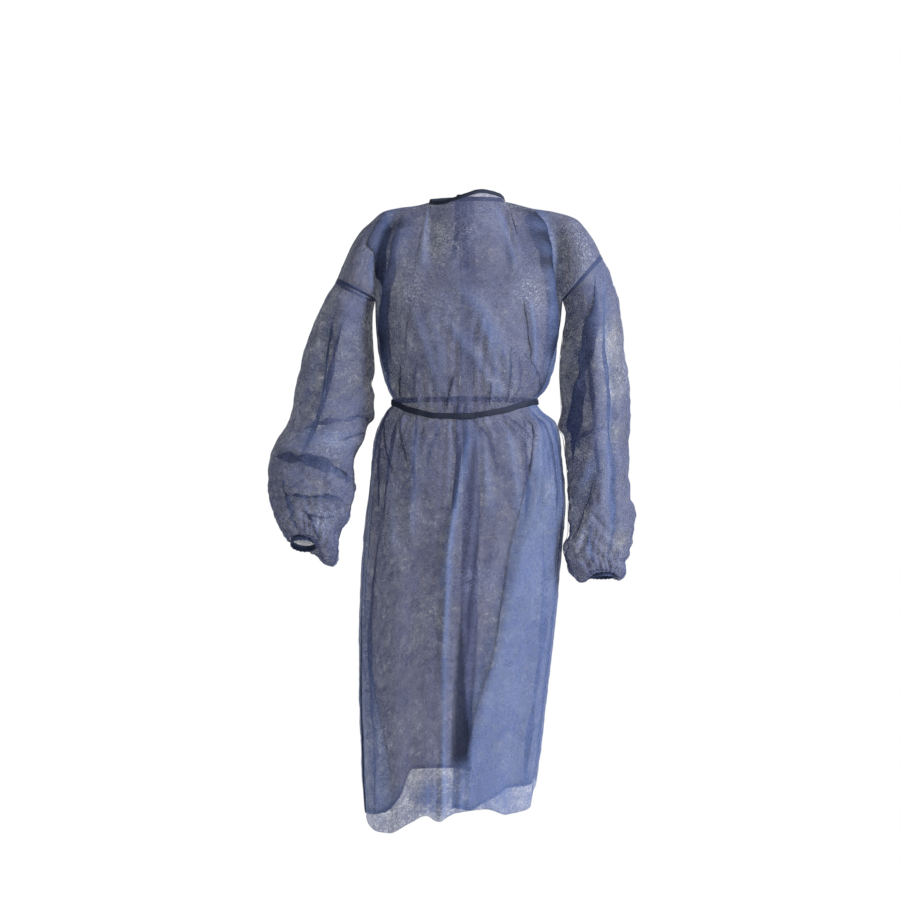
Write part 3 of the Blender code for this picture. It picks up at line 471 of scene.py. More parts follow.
SLEEVE_LEFT = rows_of(
    SleeveRow,
    (-0.214, 0.003, -0.188, 0.045, 0.079, -20),
    (-0.227, 0.005, -0.241, 0.058, 0.076, -15),
    (-0.235, 0.006, -0.296, 0.068, 0.072, -10),
    (-0.242, 0.005, -0.352, 0.073, 0.070, -6, 2),
    (-0.252, -0.002, -0.398, 0.072, 0.069, -4, 4),
    (-0.268, -0.012, -0.437, 0.078, 0.070, -2, 6),
    (-0.281, -0.022, -0.466, 0.077, 0.070, 0, 8),
    (-0.284, -0.032, -0.496, 0.078, 0.070, 0, 10),
    (-0.282, -0.045, -0.532, 0.077, 0.069, 0, 12),
    (-0.281, -0.056, -0.566, 0.069, 0.063, 0, 16, 0.5),
    (-0.281, -0.067, -0.592, 0.058, 0.053, 0, 22, 1.4),
    (-0.281, -0.073, -0.607, 0.049, 0.045, -3, 26, 2.0, 10),
    (-0.279, -0.076, -0.614, 0.046, 0.039, -4, 28, 2.4, 24),
    (-0.280, -0.077, -0.617, 0.041, 0.034, -4, 30, 2.4, 40),
    (-0.286, -0.078, -0.6185, 0.0335, 0.030, -3, 30, 1.8, 36),
    (-0.292, -0.078, -0.6195, 0.0258, 0.0262, -3, 30, 1.2),
)
SLEEVE_RIGHT = rows_of(
    SleeveRow,
    (0.229, 0.003, -0.166, 0.054, 0.080, 40),
    (0.234, 0.005, -0.214, 0.058, 0.078, 26),
    (0.235, 0.008, -0.268, 0.060, 0.076, 14),
    (0.240, 0.010, -0.324, 0.064, 0.074, 7, 2),
    (0.243, 0.010, -0.380, 0.064, 0.072, 3, 3),
    (0.243, 0.006, -0.435, 0.060, 0.070, 0, 4),
    (0.246, 0.001, -0.491, 0.057, 0.068, 0, 5),
    (0.247, -0.007, -0.538, 0.056, 0.066, 0, 6),
    (0.249, -0.015, -0.572, 0.059, 0.065, 0, 8),
    (0.248, -0.024, -0.604, 0.059, 0.061, 0, 10, 0.6),
    (0.240, -0.032, -0.634, 0.060, 0.054, 0, 12, 1.5),
    (0.2385, -0.038, -0.655, 0.0535, 0.047, 0, 12, 2.2),
    (0.243, -0.042, -0.668, 0.049, 0.041, 0, 12, 2.4, 10, 6),
    (0.247, -0.043, -0.675, 0.039, 0.034, 0, 12, 2.0, 14, 20),
    (0.249, -0.044, -0.677, 0.032, 0.030, 0, 12, 1.6, 10, 18),
    (0.250, -0.044, -0.678, 0.0256, 0.0262, 0, 12, 1.2),
)
CREASES_LEFT = rows_of(
    Crease,
    (205, 0.60, 350, 0.66, 0.014, -13),
    (215, 0.52, 345, 0.58, 0.020, 5),
    (235, 0.76, 340, 0.80, 0.012, -8),
    (250, 0.08, 225, 0.52, 0.016, 6),
    (275, 0.10, 255, 0.52, 0.016, -6),
    (340, 0.42, 380, 0.46, 0.012, -8),
    (330, 0.30, 390, 0.34, 0.014, 6),
    (40, 0.40, 130, 0.48, 0.016, -7),
    (100, 0.08, 120, 0.80, 0.018, 6),
)
CREASES_RIGHT = rows_of(
    Crease,
    (300, 0.05, 288, 0.88, 0.012, 7),
    (275, 0.10, 262, 0.60, 0.018, -9),
    (270, 0.58, 190, 0.84, 0.014, 8),
    (285, 0.66, 215, 0.90, 0.014, -7),
    (330, 0.74, 380, 0.76, 0.012, -6),
    (160, 0.46, 210, 0.50, 0.012, -8),
    (60, 0.44, 140, 0.52, 0.016, -7),
    (100, 0.08, 80, 0.80, 0.018, 6),
)
TUCKS_LEFT = rows_of(
    Tuck,
    # The deep fold of the lower half, and the smaller ones
    (((218, 0.630), (251, 0.642), (283, 0.662), (318, 0.692), (352, 0.715)), 10, 16, 4.5, -1, Run.ACROSS),
    (((240, 0.780), (270, 0.792), (300, 0.788), (326, 0.800)), 6, 7, 2.5, -1, Run.ACROSS),
    (((268, 0.865), (292, 0.872), (320, 0.860)), 5, 5, 2.0, 1, Run.ACROSS),
    (((300, 0.470), (330, 0.452), (360, 0.470)), 5, 5, 2.0, -1, Run.ACROSS),
    (((305, 0.560), (330, 0.530), (358, 0.500)), 5, 4.5, 1.8, 1, Run.ACROSS),
    (((0.06, 246), (0.34, 258), (0.62, 260)), 5, 6.5, 2.2, 1),
    (((0.70, 236), (0.95, 240)), 5, 6.5, 2.2, 1),
    (((0.84, 262), (0.97, 296)), 5, 6.5, 2.2, -1),
    (((0.08, 100), (0.62, 116)), 6, 8, 2.5, 1),
    (((40, 0.44), (90, 0.46), (135, 0.50)), 7, 10, 3.0, -1, Run.ACROSS),
)
TUCKS_RIGHT = rows_of(
    Tuck,
    # The wide doubled band, the long fold beside it, the slanting one lower down, and the smaller ones
    (((0.00, 294), (0.06, 281), (0.15, 265), (0.28, 250), (0.37, 237), (0.48, 223), (0.62, 210)), 16, 24, 4.5, -1),
    (((0.02, 312), (0.25, 286), (0.45, 288), (0.62, 298), (0.78, 290), (0.95, 294)), 5, 8, 3.0, 1),
    (((212, 0.88), (234, 0.76), (258, 0.645)), 8, 11, 3.0, 1, Run.ACROSS),
    (((0.80, 246), (0.95, 262)), 5, 6.5, 2.2, 1),
    (((0.08, 96), (0.66, 82)), 6, 8, 2.5, -1),
    (((62, 0.47), (100, 0.49), (140, 0.53)), 7, 10, 3.0, -1, Run.ACROSS),
)
SLEEVES = {
    Side.LEFT: SleeveTables(
        SLEEVE_LEFT, CREASES_LEFT, TUCKS_LEFT, (SPOTS_LEFT, SHADES_LEFT, LIGHT_COVERS_LEFT), tuck_shade=0.9
    ),
    Side.RIGHT: SleeveTables(
        SLEEVE_RIGHT, CREASES_RIGHT, TUCKS_RIGHT, (SPOTS_RIGHT, SHADES_RIGHT, LIGHT_COVERS_RIGHT), tuck_shade=0.55
    ),
}


def soft(low: float | Array, high: float | Array, value: float | Array) -> Array:
    """A soft rise from 0 at low to 1 at high."""
    share = np.clip((value - low) / (high - low), 0, 1)
    return share * share * (3 - 2 * share)


def hermite(start: Array, leave: Array, end: Array, arrive: Array, share: Array) -> Array:
    """A place on a curve between two points, each with its direction.

    Args:
        start: The first point.
        leave: The direction there.
        end: The last point.
        arrive: The direction there.
        share: How far along the curve, from 0 to 1.

    Returns:
        The place.
    """
    s2, s3 = share * share, share * share * share
    return (
        (2 * s3 - 3 * s2 + 1) * start + (s3 - 2 * s2 + share) * leave + (3 * s2 - 2 * s3) * end + (s3 - s2) * arrive
    )


def through(knots: Array, values: Array, at: Array) -> Array:
    """A smooth curve through values at rising knots, with no overshoot.

    Args:
        knots: The rising places of the values.
        values: The values.
        at: Where to read the curve.

    Returns:
        The curve's values there.
    """
    step = np.diff(knots)
    slope = np.diff(values) / step
    tangent = np.empty(len(values))
    tangent[0], tangent[-1] = slope[0], slope[-1]
    before, after = slope[:-1], slope[1:]
    same_way = before * after > 0
    tangent[1:-1] = np.where(same_way, 2 * before * after / np.where(same_way, before + after, 1), 0)
    at = np.clip(at, knots[0], knots[-1])
    k = np.clip(np.searchsorted(knots, at, side="right") - 1, 0, len(step) - 1)
    share = (at - knots[k]) / step[k]
    return hermite(values[k], tangent[k] * step[k], values[k + 1], tangent[k + 1] * step[k], share)


def along(rows: Sequence[NamedTuple], at: Array) -> list[Array]:
    """Reads smooth curves through a table's columns, of which the first holds the places.

    Args:
        rows: The table.
        at: Where to read it.

    Returns:
        The values there of each of the other columns.
    """
    knots, *columns = np.array(rows, float).T
    return [through(knots, column, np.asarray(at, float)) for column in columns]


def xyz(x: Array, y: Array, z: Array) -> Array:
    """Three arrays as points."""
    return np.stack(np.broadcast_arrays(x, y, z), axis=-1).astype(float)


def unit(vectors: Array) -> Array:
    """The vectors at length 1."""
    return vectors / np.maximum(np.linalg.norm(vectors, axis=-1, keepdims=True), 1e-12)


def crumple(points: Array, pitch: float, seed: int) -> Array:
    """Soft paper-like wrinkles, as a height between about -1 and 1 at points in space.

    Args:
        points: Where to read the wrinkles.
        pitch: The usual distance between them.
        seed: Which set of wrinkles.

    Returns:
        The heights.
    """
    dice = np.random.default_rng(seed)
    total = np.zeros(points.shape[:-1])
    for _ in range(7):
        ahead, aside = unit(dice.normal(size=(2, 3)))
        size = pitch * dice.uniform(0.6, 1.7)
        phase, drift = dice.uniform(0, 2 * np.pi, 2)
        across, down = points @ ahead, points @ aside
        across = across + 0.32 * size * np.sin(2 * np.pi * down / (2.7 * size) + phase)
        ridge = np.sqrt(0.03 + np.cos(np.pi * across / size + drift) ** 2)
        patch = 0.5 + 0.5 * np.sin(2 * np.pi * (0.4 * across + 0.8 * down) / (5.3 * size) + phase)
        total += (0.66 - ridge) * patch
    return total / 1.6


def wrinkled(points: Array, sizes: Iterable[tuple[float, float]], seed: int) -> Array:
    """Several sets of wrinkles, each with its height and pitch, as one height."""
    return sum(height * crumple(points, pitch, seed + k) for k, (height, pitch) in enumerate(sizes))


def patched(spots: Iterable[Spot], across: Array, down: Array, girth: float, length: Array | float) -> Array:
    """How strong a piece's patches are at each point of its cloth.

    Args:
        spots: The patches.
        across: Where each point of the cloth lies round the piece, in degrees.
        down: Where it lies down the piece, in the piece's own measure.
        girth: Metres to a radian round the piece.
        length: Metres to one step of the measure down the piece.

    Returns:
        The strengths, from -1 to 1.
    """
    total = np.zeros(across.shape)
    for spot in spots:
        aside = np.radians((across - spot.around + 180) % 360 - 180) * girth
        far = np.hypot(aside, (down - spot.down) * length) / (spot.radius * MM)
        total += spot.strength * np.exp(-far * far)
    return np.clip(total, -1, 1)


def tucked(tucks: Iterable[Tuck], across: Array, down: Array, girth: float, length: float) -> tuple[Array, ...]:
    """Doubles the cloth over itself at its tucks.

    Args:
        tucks: The tucks.
        across: Where each point of the cloth lies round the piece, in degrees.
        down: Where it lies down the piece, in the piece's own measure.
        girth: Metres to a radian round the piece.
        length: Metres to one step of the measure down the piece.

    Returns:
        Where each point goes round and down the piece, how far out it is lifted, and how much it is doubled and
        painted dark.
    """
    round_to, down_to, lift, doubled_and_shaded = across.copy(), down.copy(), np.zeros(across.shape), np.zeros(across.shape)
    for tuck in tucks:
        places, middles = np.array(tuck.path, float).T
        lengthwise = tuck.run is Run.DOWN
        place = down if lengthwise else np.mod(across, 360)
        middle = through(places, middles, place)
        share = (place - places[0]) / (places[-1] - places[0])
        phase = 7 * places[0] + middles[0]
        stray = min(tuck.width, 6) * MM * (1.0 if lengthwise else 0.35)
        wander = stray * (0.20 * np.sin(11 * share + phase) + 0.11 * np.sin(27 * share + 2 * phase))
        depth = tuck.depth * MM * (1 + 0.20 * np.sin(15 * share + 1.7 * phase) + 0.12 * np.sin(37 * share + phase))
        if lengthwise:
            aside = np.radians((across - middle + 180) % 360 - 180) * girth
        else:
            aside = (down - middle) * length
        aside = aside - wander
        fade = 0.22 * (places[-1] - places[0])
        ends = soft(places[0] - 0.3 * fade, places[0] + fade, place) * soft(
            places[-1] + 0.3 * fade, places[-1] - fade, place
        )
        t = aside / (tuck.width * MM)
        shift = -depth * ends * 2.33 * t * np.exp(-t * t)
        if lengthwise:
            round_to += np.degrees(shift / girth)
        else:
            down_to += shift / length
        top = tuck.over * t
        rise = 1 / (1 + np.exp(np.clip(-2.2 * top, -40, 40))) * np.exp(-((np.maximum(top, 0) / 3.5) ** 2))
        lift += tuck.lift * MM * ends * rise
        doubled_and_shaded = np.maximum(doubled_and_shaded, ends * np.exp(-0.6 * t * t) * min(1.0, max(0.0, tuck.depth - 2) / 4.5))
    return round_to, down_to, lift, doubled_and_shaded


@dataclass(frozen=True)
class BodyForm:
    """The shape of the body cloth as it hangs: a bell from neckline to hem, drawn in by the belt."""

    chest_drop: float = 0.176
    belt_drop: float = 0.365
    hem_drop: float = 1.110
    squareness: float = 2.3
    neck_angle: float = 34
    neck_front: float = -0.072
    neck_back: float = 0.062
    nape_rise: float = 0.016
    neck_pull: float = 0.19
    shoulder_pull: float = 0.17
    belt_dip: float = 0.028
    belt_rise: float = 0.008
    belt_reach: float = 0.095
    armhole_depth: float = 0.078
    lap_lift: float = 3.6 * MM
    seam_gap: float = 0.3 * MM
    girth: float = 0.155
    fold_girth: float = 0.15

    def section(self, angle: Array, drop: Array) -> Array:
        """The body's section at a drop below the shoulders.

        Args:
            angle: Where round the body.
            drop: How far below the shoulders.

        Returns:
            The points there.
        """
        left, right, front, back = along(BODY_ROWS, drop)
        across, ahead = np.sin(np.radians(angle)), -np.cos(np.radians(angle))
        across = np.sign(across) * np.abs(across) ** (2 / self.squareness)
        ahead = np.sign(ahead) * np.abs(ahead) ** (2 / self.squareness)
        x, y = (left + right) / 2 + (right - left) / 2 * across, (front + back) / 2 + (back - front) / 2 * ahead
        return xyz(x, y, -drop)

    def nominal_drop(self, level: Array) -> Array:
        """The drop of a level from the chest line down, before the belt's dip and the hem's unevenness."""
        to_belt = self.chest_drop + (self.belt_drop - self.chest_drop) * (level - 1)
        return np.where(level < 2, to_belt, self.belt_drop + (self.hem_drop - self.belt_drop) * (level - 2))

    def lower(self, angle: Array, level: Array) -> Array:
        """The cloth from the chest line down, before its folds.

        Args:
            angle: Where round the body.
            level: Where down the cloth.

        Returns:
            The points there.
        """
        drop = self.nominal_drop(level)
        point = self.section(angle, drop)
        dip = self.belt_dip * np.maximum(np.cos(np.radians(angle + 8)), 0) ** 2.4
        rise = self.belt_rise * np.maximum(-np.cos(np.radians(angle)), 0)
        near = np.exp(-(((drop - self.belt_drop) / self.belt_reach) ** 2))
        near = near * soft(self.chest_drop, self.chest_drop + self.belt_reach, drop)
        hem = along(HEM_ROWS, angle)[0] - self.hem_drop
        point[..., 2] -= (dip - rise) * near + hem * soft(2, 3, level)
        return point

    def neck_way(self, folded: Array, facing: Array) -> Array:
        """The way down and out from the neckline."""
        turn = np.radians(90 * folded / self.neck_angle)
        return xyz(0.30 * np.sin(turn), 0.42 * facing * np.abs(np.cos(turn)), -0.86)

    def top(self, folded: Array, behind: bool) -> tuple[Array, Array]:
        """The neckline and shoulder seam, and the way the cloth leaves them.

        Args:
            folded: Angles from the middle of the front or of the back.
            behind: Whether they are on the back.

        Returns:
            The points and the directions.
        """
        out = np.abs(folded)
        seams = zip(along(SHOULDER_LEFT, out), along(SHOULDER_RIGHT, out))
        x, z = (np.where(folded < 0, on_left, on_right) for on_left, on_right in seams)
        left, right = SHOULDER_LEFT[0], SHOULDER_RIGHT[0]
        turn = np.radians(90 * folded / self.neck_angle)
        neck_x = (left.x + right.x) / 2 + (right.x - left.x) / 2 * np.sin(turn)
        neck_y = (self.neck_back if behind else self.neck_front) * np.cos(turn)
        if behind:
            knots = np.array([-self.neck_angle, 0, self.neck_angle])
            neck_z = through(knots, np.array([left.z, self.nape_rise, right.z]), folded)
        else:
            neck_z = along(NECK_ROWS, folded)[0]
        inside = out < self.neck_angle
        point = xyz(np.where(inside, neck_x, x), np.where(inside, neck_y, 0), np.where(inside, neck_z, z))
        facing = 1.0 if behind else -1.0
        shoulder = soft(self.neck_angle - 16, self.neck_angle + 1, out)[..., None]
        over = xyz(0 * folded, facing * self.shoulder_pull, 0)
        return point, self.neck_pull * self.neck_way(folded, facing) * (1 - shoulder) + over * shoulder

    def armhole(self, side: Side) -> tuple[Array, Array, float]:
        """The armhole of one side.

        Args:
            side: Which side.

        Returns:
            Its middle, the way from there to its +X end, and that half length.
        """
        row = (SHOULDER_LEFT if side is Side.LEFT else SHOULDER_RIGHT)[-1]
        peak = np.array([row.x, 0, row.z])
        pit = self.section(np.float64(90 * side.value), np.float64(self.chest_drop))
        to_right = (peak - pit) * side.value
        half = float(np.linalg.norm(to_right)) / 2
        return (peak + pit) / 2, to_right / (2 * half), half

    def armhole_point(self, side: Side, turn: Array) -> Array:
        """Points of an armhole's edge.

        Args:
            side: Which side.
            turn: Turns from the armhole's right end over the back.

        Returns:
            The points.
        """
        middle, across, half = self.armhole(side)
        turn = np.radians(turn)[..., None]
        return middle + half * np.cos(turn) * across + self.armhole_depth * np.sin(turn) * np.array([0, 1, 0])

    def yoke_curve(self, folded: Array, behind: bool, level: Array) -> Array:
        """The curve from the top edge down to the chest line.

        Args:
            folded: Angles from the middle of the front or of the back.
            behind: Whether they are on the back.
            level: How far down the curve, from 0 to 1.

        Returns:
            The points.
        """
        start, leave = self.top(folded, behind)
        chest = self.lower(180.0 - folded if behind else folded, np.ones(folded.shape))
        return hermite(start, leave, chest, np.array([0, 0, -0.15]), np.asarray(level)[..., None])

    def yoke(self, angle: Array, behind: bool, level: Array) -> Array:
        """The cloth above the chest line, bent to end in the armholes.

        Args:
            angle: Where round the body.
            behind: Whether that is on the back.
            level: Where down the cloth, from 0 to 1.

        Returns:
            The points there.
        """
        folded = 180.0 - angle if behind else angle
        point = self.yoke_curve(folded, behind, level)
        for side in Side:
            edge = self.yoke_curve(np.full(folded.shape, 90.0 * side.value), behind, level)
            turn = 180 + 180 * level if side is Side.LEFT else 360 - 180 * level
            seam = self.armhole_point(side, 360 - turn if behind else turn)
            point = point + soft(58, 90, folded * side.value)[..., None] * (seam - edge)
        return point

    def plain(self, angle: Array, level: Array, behind: bool) -> Array:
        """The cloth without its folds."""
        low = self.lower(angle, np.maximum(level, 1))
        return np.where((level < 1)[..., None], self.yoke(angle, behind, np.clip(level, 0, 1)), low)

    def pleats(self) -> list[Pleat]:
        """The gathers under the belt.

        Returns:
            Those of the front, and those of the back, which come from a rule.
        """
        found = list(FRONT_PLEATS)
        for k in range(BACK_PLEATS):
            odd = math.sin(2.4 * k) * 0.3
            found.append(
                Pleat(100 + BACK_PLEAT_STEP * (k + odd), 4.0, BACK_PLEAT_LIFT * (1 + odd), 0.07 * (1 + odd),
                      0.14 * (1 - odd), 20 * math.cos(1.7 * k))
            )
        return found

    def below_belt(self, level: Array) -> Array:
        """How far a level lies below the belt, in metres."""
        return np.where(level < 1, self.chest_drop * level, self.nominal_drop(level)) - self.belt_drop

    def lift(self, angle: Array, level: Array) -> Array:
        """How far the gathers and long folds move the cloth outwards.

        Args:
            angle: Where round the body.
            level: Where down the cloth.

        Returns:
            The distances.
        """
        lift = np.zeros(angle.shape)
        below = self.below_belt(level)
        for pleat in self.pleats():
            far = np.abs(below) / np.where(below < 0, pleat.rise, pleat.fall)
            middle = pleat.angle + pleat.lean * np.maximum(below, 0)
            across = (angle - middle) / pleat.spread
            lift += pleat.lift * MM * (0.28 + 1.9 * far) * np.exp(-1.9 * far * far - across * across)
        return lift + self.fold_lift(FOLDS, angle, level)

    def fold_lift(self, folds: Iterable[Fold], angle: Array, level: Array) -> Array:
        """How far some long folds move the cloth outwards.

        Args:
            folds: The folds.
            angle: Where round the body.
            level: Where down the cloth.

        Returns:
            The distances.
        """
        lift = np.zeros(angle.shape)
        for fold in folds:
            share = (level - fold.top) / (fold.end - fold.top)
            middle = fold.top_angle + (fold.end_angle - fold.top_angle) * share
            across = np.radians(angle - middle) * self.fold_girth / fold.width
            lift += fold.lift * MM * soft(0, 0.22, share) * soft(0, 0.22, 1 - share) * np.exp(-across * across)
        return lift

    def standing_lit(self, angle: Array, level: Array, behind: bool) -> Array:
        """How freely the cloth hangs, from 0 where it lies close to 1 where it stands out, as a mask of painted
        light.

        Args:
            angle: Where round the body.
            level: Where down the cloth.
            behind: Whether that is on the back.

        Returns:
            The shares.
        """
        # Painted highlight: the tops of the raised folds are painted lighter and bluer.
        ridges = (self.fold_lift([fold for fold in FOLDS if fold.lift > 0], angle, level) / (5.0 * MM)) ** 1.4
        if behind:
            return np.clip(0.25 + 0.6 * ridges, 0, 1)
        far_left, left, right, far_right = along(CLOSE_ROWS, level)
        crisp = 4 - 2.6 * soft(2.1, 2.3, level)
        free_right = soft(-crisp, crisp, angle - right) * soft(4, -3, angle - far_right)
        free_left = soft(-crisp, crisp, left - angle) * soft(4, -3, far_left - angle)
        # Painted light: free cloth and the cloth just above the hem are painted lighter and bluer.
        return np.clip(free_right + free_left + 0.85 * ridges + 0.8 * soft(2.88, 2.94, level), 0, 1)

    def small_gathers(self, angle: Array, level: Array) -> Array:
        """The fine gathers that the belt makes, and the fine ripples at the sides.

        Args:
            angle: Where round the body.
            level: Where down the cloth.

        Returns:
            How far they move the cloth outwards.
        """
        turn, below = np.radians(angle), self.below_belt(level)
        fine = np.cos(31 * turn + 0.7) + 0.8 * np.cos(47 * turn + 2.1 + 6 * below) + 0.6 * np.cos(67 * turn + 4.0)
        far = np.abs(below) / np.where(below < 0, 0.050, 0.070)
        belt = 0.9 * MM * fine * (0.30 + 1.6 * far) * np.exp(-1.3 * far * far)
        side = np.exp(-(((np.abs(((angle + 90) % 360) - 180) - 90) / 13) ** 2))
        ripple = np.cos(58 * turn + 3 * np.sin(5 * level)) + 0.7 * np.cos(83 * turn + 9 * below)
        return belt + 0.9 * MM * side * ripple * soft(1.0, 1.3, level)

    def shaded(self, angle: Array, level: Array) -> Array:
        """Where the front is painted in shade, as if little light came through it over the bunched lap of the back.

        Args:
            angle: Where round the body.
            level: Where down the cloth.

        Returns:
            The shares.
        """
        left, right = along(SHADOW_ROWS, level)
        across = soft(-0.8, 0.8, angle - left) * soft(0.8, -0.8, angle - right)
        return across * soft(2.46, 2.60, level) * soft(2.90, 2.86, level)

    def in_lap(self, angle: Array, level: Array) -> Array:
        """Where the two halves of the back lie on one another, as a share."""
        half, shift = along(LAP_ROWS, level)
        return soft(-1, 1, half - np.abs(angle - 180 + shift))

    def cloth(self, angle: Array, level: Array, behind: bool, lapped: bool) -> tuple[Array, Array]:
        """The finished middle of the body cloth.

        Args:
            angle: Where round the body.
            level: Where down the cloth.
            behind: Whether that is on the back.
            lapped: Whether it is the outer one of the two back panels.

        Returns:
            The points and the outward normals.
        """
        points = self.plain(angle, level, behind)
        step_down = np.where(level > 2.99, -0.01, 0.01)
        down = (self.plain(angle, level + step_down, behind) - points) / step_down[..., None]
        step_round = np.where(np.abs(angle) > 89.4, -0.5, 0.5) if not behind else np.where(angle > 269.4, -0.5, 0.5)
        sideways = (self.plain(angle + step_round, level, behind) - points) / step_round[..., None]
        normals = unit(np.cross(down, sideways))
        lift = self.lift(angle, level) * soft(0, 0.12, level) + self.small_gathers(angle, level)
        if lapped:
            lift = lift + self.lap_lift * soft(150, 166, angle)
        points = points + normals * lift[..., None]
        points[..., 1] += self.seam_gap / 2 * (1 if behind else -1)
        if lapped:
            points[..., 2] -= along(LAP_HEM_ROWS, angle)[0] * soft(2.3, 3, level)
        return points, normals

    def back_angles(self, level: Array, side: Side, shares: Array) -> Array:
        """Angles of one half of the back, from its side seam past the middle, that run up as the front's do.

        Args:
            level: The level of each row.
            side: Which half.
            shares: Where each column lies between the side seam and the lap's edge.

        Returns:
            The angles, a row of them for each level.
        """
        half, shift = along(LAP_ROWS, level)
        angle = 90 + (90 + (half - side.value * shift)[:, None]) * shares
        return angle if side is Side.RIGHT else (360 - angle)[:, ::-1]


@dataclass(frozen=True)
class SleeveForm:
    """The shape of one sleeve: rings from the armhole to the cuff."""

    side: Side
    body: BodyForm
    pit_clearance: float = 0.9 * MM
    start_gap: float = 0.3 * MM
    hang_spread: float = 62
    girth: float = 0.068
    length: float = 0.55

    @property
    def tables(self) -> SleeveTables:
        """The sleeve's tables."""
        return SLEEVES[self.side]

    def rings(self) -> tuple[Array, Array, Array, Array]:
        """The sleeve's rings, the armhole first.

        Returns:
            Each ring's middle, its directions to the right and to the back, and its numbers.
        """
        middle, across, half = self.body.armhole(self.side)
        down = np.cross(across, [0, 1, 0])
        down = down * -np.sign(down[2])
        start = middle + down * self.start_gap + across * self.side.value * self.pit_clearance / 2
        middles, acrosses, backs = [start], [across], [np.array([0, 1, 0])]
        numbers = [(half - self.pit_clearance / 2, self.body.armhole_depth, 0, 0, 0)]
        for row in self.tables.rings:
            roll, pitch = math.radians(row.roll), math.radians(row.pitch)
            middles.append(np.array([row.x, row.y, row.z]))
            acrosses.append(np.array([math.cos(roll), 0, math.sin(roll)]))
            backs.append(np.array([0, math.cos(pitch), -math.sin(pitch)]))
            numbers.append((row.wide, row.deep, row.flute * MM, row.hang_right * MM, row.hang_left * MM))
        return np.array(middles), np.array(acrosses), np.array(backs), np.array(numbers)

    def ring(self, middle: Array, across: Array, back: Array, numbers: Array, turn: Array, fluted: bool) -> Array:
        """Points of a ring, or of one ring for each turn.

        Args:
            middle: The ring's middle.
            across: Its direction to the right.
            back: Its direction to the back.
            numbers: Half its width, half its depth, the gathers' depth, and the droop at its two sides.
            turn: Where round the ring.
            fluted: Whether the gathers show.

        Returns:
            The points.
        """
        wide, deep, flute, hang_right, hang_left = np.moveaxis(numbers, -1, 0)
        angle = np.radians(turn)
        waves = np.cos(23 * angle + 0.4) + 0.7 * np.cos(31 * angle + 2.2) + 0.5 * np.cos(14 * angle + 1.1)
        full = 1 + (0.5 * flute / deep * waves if fluted else 0)
        to_side = np.degrees(np.arccos(np.clip(np.cos(angle), -1, 1)))
        droop = hang_right * np.exp(-((to_side / self.hang_spread) ** 2))
        droop = droop + hang_left * np.exp(-(((180 - to_side) / self.hang_spread) ** 2))
        return (
            middle
            + across * (wide * full * np.cos(angle))[..., None]
            + back * (deep * full * np.sin(angle))[..., None]
            - xyz(0 * droop, 0, droop)
        )

    def places(self) -> Array:
        """How far down the sleeve each ring lies.

        Returns:
            The shares of the sleeve's length along the cloth.
        """
        rings = self.rings()
        quarters = [self.ring(*rings, np.full(len(rings[0]), turn), False) for turn in (0.0, 90.0, 180.0, 270.0)]
        steps = np.mean([np.linalg.norm(np.diff(q, axis=0), axis=1) for q in quarters], axis=0)
        places = np.concatenate([[0], np.cumsum(steps)])
        return places / places[-1]

    def plain(self, turn: Array, share: Array, fluted: bool = True) -> Array:
        """The sleeve without its creases.

        Args:
            turn: Where round the sleeve.
            share: Where down the sleeve.
            fluted: Whether the gathers show.

        Returns:
            The points.
        """
        places = self.places()
        read = [
            np.stack([through(places, values[:, k], share) for k in range(values.shape[1])], axis=-1)
            for values in self.rings()
        ]
        return self.ring(*read, turn, fluted)

    def crease_lift(self, crease: Crease, turn: Array, share: Array) -> Array:
        """How far one crease moves the cloth outwards.

        Args:
            crease: The crease.
            turn: Where round the sleeve.
            share: Where down the sleeve.

        Returns:
            The distances.
        """
        round_metres, down_metres = 0.070, 0.50
        start = np.array([math.radians(crease.turn) * round_metres, crease.share * down_metres])
        way = np.array([math.radians(crease.end_turn) * round_metres, crease.end_share * down_metres]) - start
        lift = np.zeros(turn.shape)
        for lap in (-360, 0, 360):
            here = np.stack([np.radians(turn + lap) * round_metres, share * down_metres], axis=-1) - start
            place = here @ way / (way @ way)
            aside = np.linalg.norm(here - np.clip(place, 0, 1)[..., None] * way, axis=-1)
            ends = soft(-0.1, 0.3, place) * soft(-0.1, 0.3, 1 - place)
            lift = lift + crease.lift * MM * ends * np.exp(-((aside / crease.width) ** 2))
        return lift

    def cloth(self, turn: Array, share: Array) -> tuple[Array, Array]:
        """The finished middle of the sleeve's cloth.

        Args:
            turn: Where round the sleeve.
            share: Where down the sleeve.

        Returns:
            The points and the outward normals.
        """
        points = self.plain(turn, share)
        smooth = self.plain(turn, share, False)
        step = np.where(share > 0.99, -0.005, 0.005)
        down = (self.plain(turn, share + step, False) - smooth) / step[..., None]
        normals = -unit(np.cross(down, self.plain(turn + 0.5, share, False) - smooth))
        lift = sum(self.crease_lift(crease, turn, share) for crease in self.tables.creases)
        lift = lift * soft(0, 0.06, share)
        return points + normals * lift[..., None], normals


